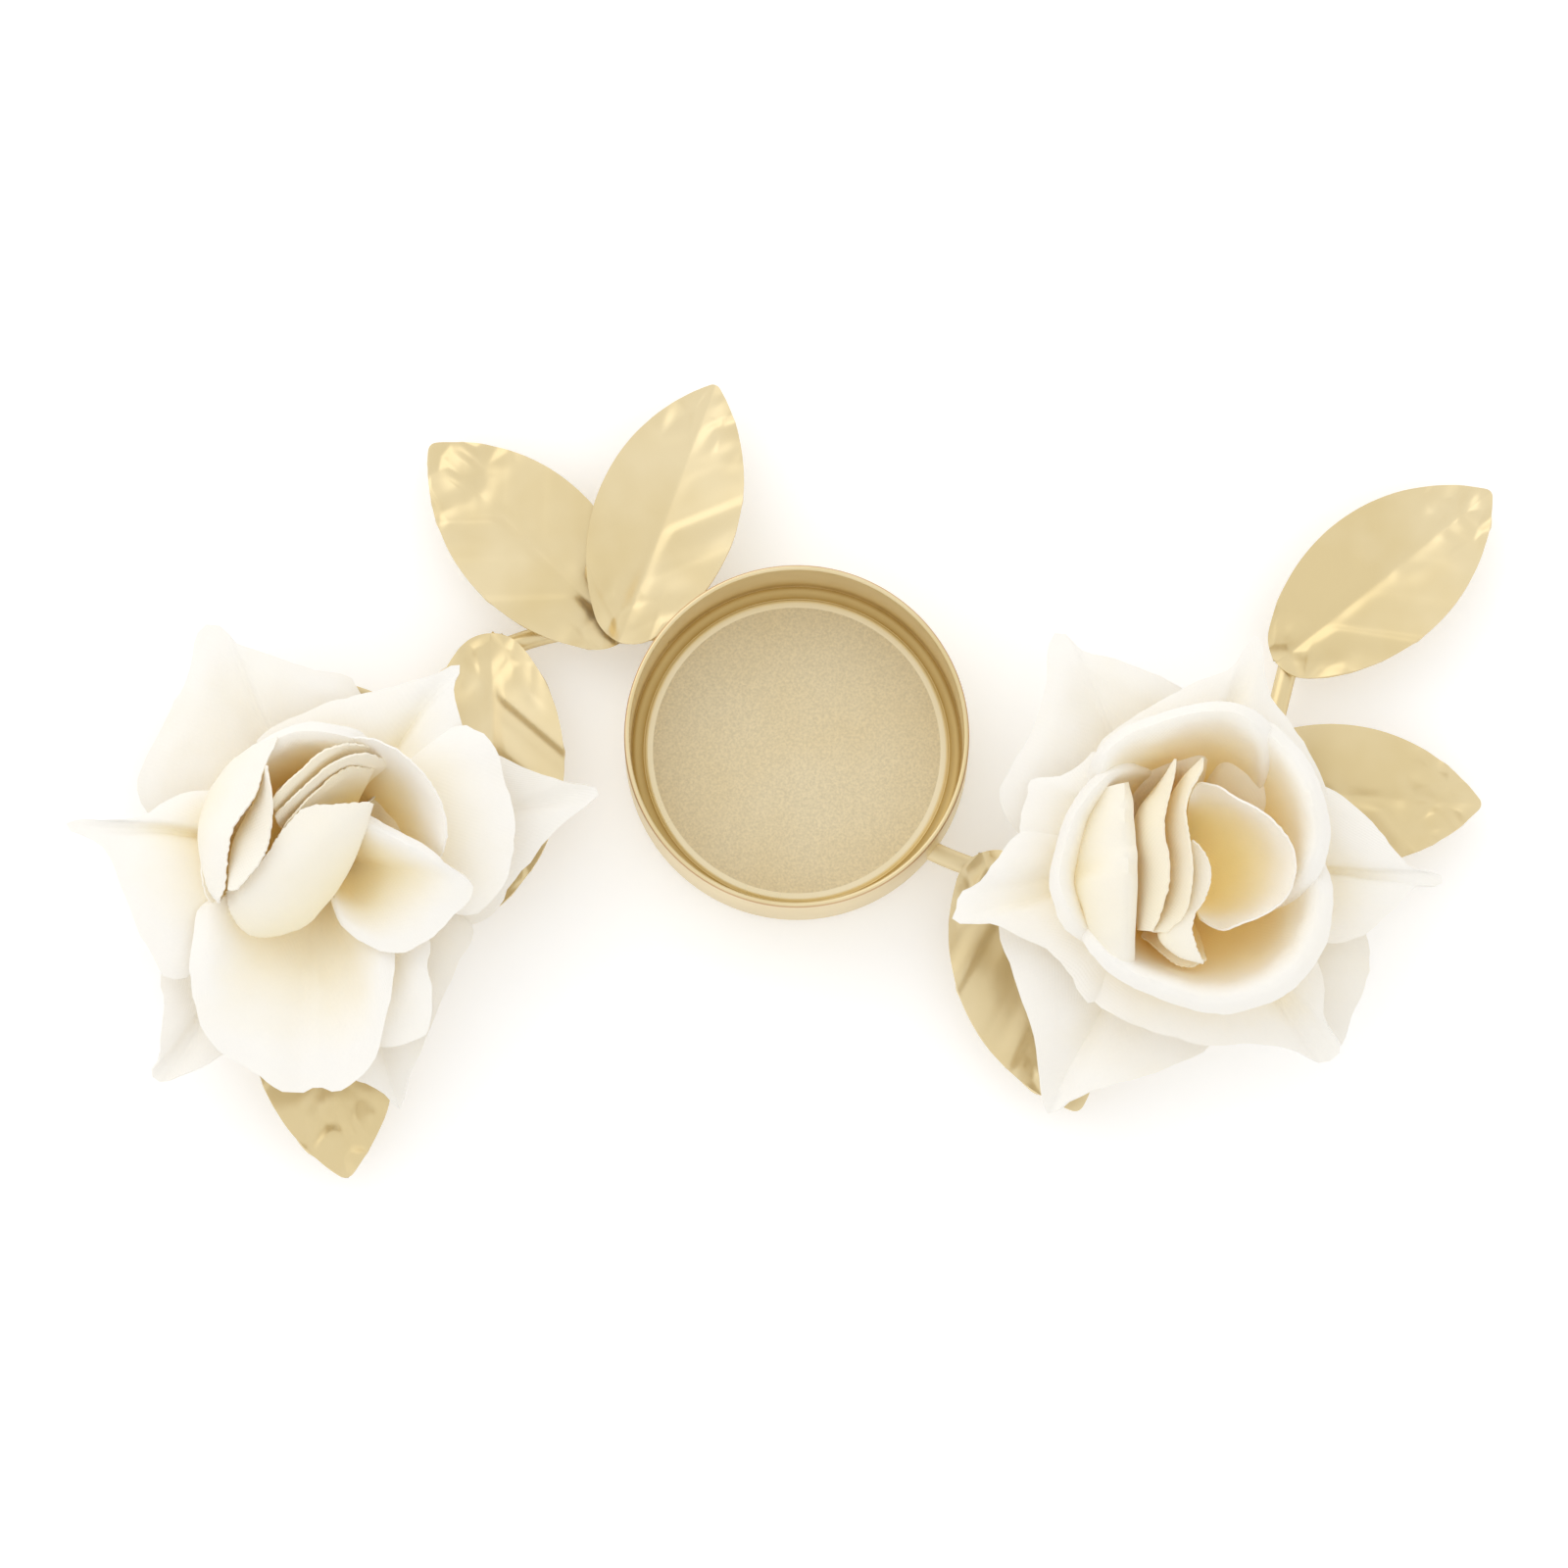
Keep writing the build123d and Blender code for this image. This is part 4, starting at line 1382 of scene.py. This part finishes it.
LEFT_HEART = (
    Petal((
        (272, 780, 31.0), (276, 814, 31.6), (275, 845, 31.6), (270, 868, 31.2), (258, 887, 30.6),
        (240, 906, 29.4), (232, 908, 28.4),
    ), rows=(
        ((300, 850, 17.0), (285, 870, 17.0), (280, 890, 17.0)),
        ((272, 800, 22.0), (256, 840, 21.0), (244, 890, 22.0)),
        ((271, 782, 30.0), (266, 803, 28.6), (254, 830, 27.8), (239, 860, 27.6), (233, 883, 27.6),
         (231, 906, 27.8)),
    ), depth=(1.0, 0.1), crumple=0.2),
    Petal((
        (276, 818, 30.2), (290, 803, 31.2), (306, 788, 31.6), (329, 768, 31.6), (344, 762, 31.0),
        (358, 760, 29.8), (372, 762, 28.2), (384, 768, 25.8),
    ), rows=(
        ((300, 845, 17.0), (320, 835, 17.0), (345, 832, 17.0)),
        ((286, 836, 24.0), (316, 808, 24.0), (348, 788, 23.6), (368, 786, 22.0)),
        ((281, 826, 29.2), (311, 796, 30.2), (346, 769, 29.4), (380, 773, 25.2)),
    ), depth=(1.0, 0.25), crumple=0.15),
    Petal((
        (281, 834, 29.8), (298, 816, 30.8), (314, 801, 31.2), (330, 787, 31.2), (345, 777, 30.8),
        (362, 771, 30.0), (380, 771, 28.2), (398, 779, 25.2),
    ), rows=(
        ((306, 855, 17.0), (326, 845, 17.0), (350, 840, 17.0)),
        ((292, 850, 24.0), (322, 820, 24.0), (352, 800, 23.4), (376, 800, 21.4)),
        ((284, 842, 28.8), (318, 807, 29.8), (350, 783, 29.0), (393, 785, 24.4)),
    ), depth=(1.0, 0.2), crumple=0.15),
    Petal((
        (284, 855, 29.2), (293, 841, 30.0), (304, 828, 30.4), (316, 815, 30.4), (328, 803, 30.2),
        (344, 790, 29.6), (362, 783, 28.6), (382, 786, 25.8),
    ), rows=(
        ((312, 864, 17.0), (332, 852, 17.0), (355, 848, 17.0)),
        ((296, 866, 23.6), (326, 836, 23.6), (352, 818, 22.8), (368, 814, 20.8)),
        ((288, 862, 28.2), (322, 820, 29.0), (348, 798, 28.2), (378, 793, 24.8)),
    ), depth=(1.0, 0.3), crumple=0.15),
)

# The left rose is looser: pointed petals all round, one big round one in front and a folded heart
LEFT_ROSE = ClothRose("left", share=0.832, lean=(3.0, -50.0), layers=(
    PetalLayer("outer", height=7.1, petals=LEFT_OUTER, cut=78.0, dyed=0.3),
    PetalLayer("second", height=8.3, petals=LEFT_SECOND, cut=74.0),
    PetalLayer("bowl", height=9.5, petals=LEFT_BOWL, cut=66.0),
    PetalLayer("inner", height=10.7, petals=LEFT_INNER, cut=52.0),
    PetalLayer("heart", height=11.9, petals=LEFT_HEART, cut=46.0, held=Hold.FOLDED),
))
# The right rose is a round bowl of rolled petals over five pointed ones, with folds at its heart
RIGHT_ROSE = ClothRose("right", share=0.483, lean=(6.0, -64.0), layers=(
    PetalLayer("outer", height=7.1, petals=RIGHT_OUTER, cut=76.0, dyed=0.3),
    PetalLayer("second", height=8.3, petals=RIGHT_SECOND, cut=72.0),
    PetalLayer("bowl", height=9.5, petals=RIGHT_BOWL, cut=70.0),
    PetalLayer("inner", height=10.7, petals=RIGHT_INNER, cut=58.0),
    PetalLayer("heart", height=11.9, petals=RIGHT_HEART, cut=46.0, held=Hold.FOLDED),
))


# Floor, light and air


@dataclass(frozen=True)
class SoftStudio:
    """A white table under a big soft lamp: it lights at a plain level and keeps the object's faint shadow."""

    sky: float = 1.0
    key_power: float = 3.8
    key_size: float = 1.4
    key_place: Spot = (-0.8, 0.9, 0.9)
    table_half: float = 4.0
    table_white: str = "F4F4F4"
    table_lift: float = 0.22
    white: str = "FFFFFF"
    bounces: int = 24
    diffuse_bounces: int = 20

    def build(self) -> None:
        """Make the table, the lamp and the world, and let light bounce on in the gaps between the petals."""
        scene = bpy.context.scene
        scene.view_settings.view_transform = "Standard"
        scene.cycles.max_bounces, scene.cycles.diffuse_bounces = self.bounces, self.diffuse_bounces
        self.make_table()
        self.make_lamp()
        self.make_world()
        LOG.info("studio: table, lamp and world")

    def make_table(self) -> None:
        """Make the white table as a stage object. Its lift shows to the eye and in the metal alone."""
        material, tree = blank_material("white_table")
        paint = node(tree, "BsdfDiffuse", Color=linear(self.table_white))
        glow = node(tree, "Emission", Color=linear(self.white), Strength=self.table_lift)
        dark = node(tree, "Emission", Strength=0.0)
        rays = node(tree, "LightPath").outputs
        seen = node(
            tree, "Math", {"operation": "ADD", "use_clamp": True}, in_0=rays["Is Camera Ray"],
            in_1=rays["Is Glossy Ray"],
        )
        lift = node(tree, "MixShader", in_0=seen, in_1=dark, in_2=glow)
        node(tree, "OutputMaterial", Surface=node(tree, "AddShader", in_0=paint, in_1=lift))
        shell = bmesh.new()
        bmesh.ops.create_grid(shell, x_segments=1, y_segments=1, size=self.table_half)
        mesh = bpy.data.meshes.new("table")
        shell.to_mesh(mesh)
        shell.free()
        mesh.materials.append(material)
        add_object("table", mesh)

    def make_lamp(self) -> None:
        """Hang the big soft lamp behind the object, to the left."""
        data = bpy.data.lights.new("soft_lamp", "AREA")
        data.energy, data.size = self.key_power, self.key_size
        lamp = add_object("soft_lamp", data)
        lamp.location = self.key_place
        lamp.rotation_euler = (-Vector(self.key_place)).to_track_quat("-Z", "Y").to_euler()

    def make_world(self) -> None:
        """Light the scene from a plain sky that looks white."""
        world = bpy.data.worlds.new("soft_sky")
        world.use_nodes = True
        bpy.context.scene.world = world
        tree = world.node_tree
        tree.nodes.clear()
        back = node(tree, "Background", Color=linear(self.white), Strength=self.sky)
        node(tree, "OutputWorld", Surface=back)


def main() -> None:
    """Build the candle ring piece by piece, then the studio and the camera."""
    logging.basicConfig(level=logging.INFO, format="%(message)s")
    noise.seed_set(CREASE_SEED)
    # Wires, leaves and wall: soft lights and warm dark ends, never a mirror
    gold = LacqueredSteel("champagne_lacquer_on_pressed_steel", "E8D7AE", "DFCB9B", 0.36).make()
    # The cup's floor: a fine grain that stays evenly light
    blasted = LacqueredSteel(
        "sand_blasted_champagne_steel", "E6D9B9", "E1D1AC", 0.55, grit=0.3 * MM, grit_depth=0.044 * MM,
        speckle=0.08,
    ).make()
    # A thin ring where the floor panel bends down: smooth lacquer, with a lighter colour that is a painted
    # highlight
    border = LacqueredSteel("smooth_border_with_painted_highlight", "F1E4C4", "EBDCB6", 0.3).make()
    # Painted shade: a darker ring in the corner that parts the panel from the wall
    groove = LacqueredSteel("painted_shade_in_the_groove", "C4A86E", "BA9D62", 0.4).make()
    # Painted shade: the rim's thin outer line, darker and a little redder than the wall
    edge = LacqueredSteel("painted_shade_on_the_rim_edge", "CFAE86", "C39F78", 0.4).make()
    cloth = PetalCloth().make()
    # Green moulded plastic, whose grey green is also painted shade where it shows in the gaps between the
    # petals
    calyx = MouldedPlastic("green_polyethylene_and_painted_gap_shade", "7E8F5A", "66784A").make()
    # Moulded plastic in a dull olive that is also painted shade, so that the rose's heart doesn't end in a
    # bright spot
    bud = MouldedPlastic("olive_polyethylene_and_painted_heart_shade", "C4C097", "B0AB7C").make()

    VIEW.make_camera()
    CandleCup().build(
        {Zone.WALL: gold, Zone.PANEL: blasted, Zone.BORDER: border, Zone.GROOVE: groove, Zone.EDGE: edge}
    )
    left = BranchWire(
        "left", wall_angle=138.3, wall_heading=166.7, bends=((33.0, 31.3), (40.0, 72.0)), tail=0.8
    )
    right = BranchWire(
        "right", wall_angle=-37.5, wall_heading=-25.9, bends=((40.0, 35.9), (22.0, 66.0)), tail=13.4
    )
    for branch in (left, right):
        branch.build(gold)
    for branch, leaf in (
        (left, PressedLeaf("left_cup_lower_leaf", share=0.104, heading=134.9)),
        (left, PressedLeaf("left_cup_upper_leaf", share=0.078, heading=69.6, lift=2.1)),
        (left, PressedLeaf("left_middle_leaf", share=0.33, heading=271.0)),
        (left, PressedLeaf("left_outer_leaf", share=0.565, heading=194.0)),
        (left, PressedLeaf("left_end_leaf", share=0.96, heading=279.4)),
        (right, PressedLeaf("right_cup_leaf", share=0.116, heading=290.3)),
        (right, PressedLeaf("right_middle_leaf", share=0.693, heading=-3.0, overhang=5.6)),
        (right, PressedLeaf("right_end_leaf", share=0.984, heading=38.9)),
    ):
        leaf.build(branch, gold)
    for branch, rose in ((left, LEFT_ROSE), (right, RIGHT_ROSE)):
        rose.build(branch, cloth, {"calyx": calyx, "bud": bud, "post": gold})
    SoftStudio().build()


if __name__ == "__main__":
    main()
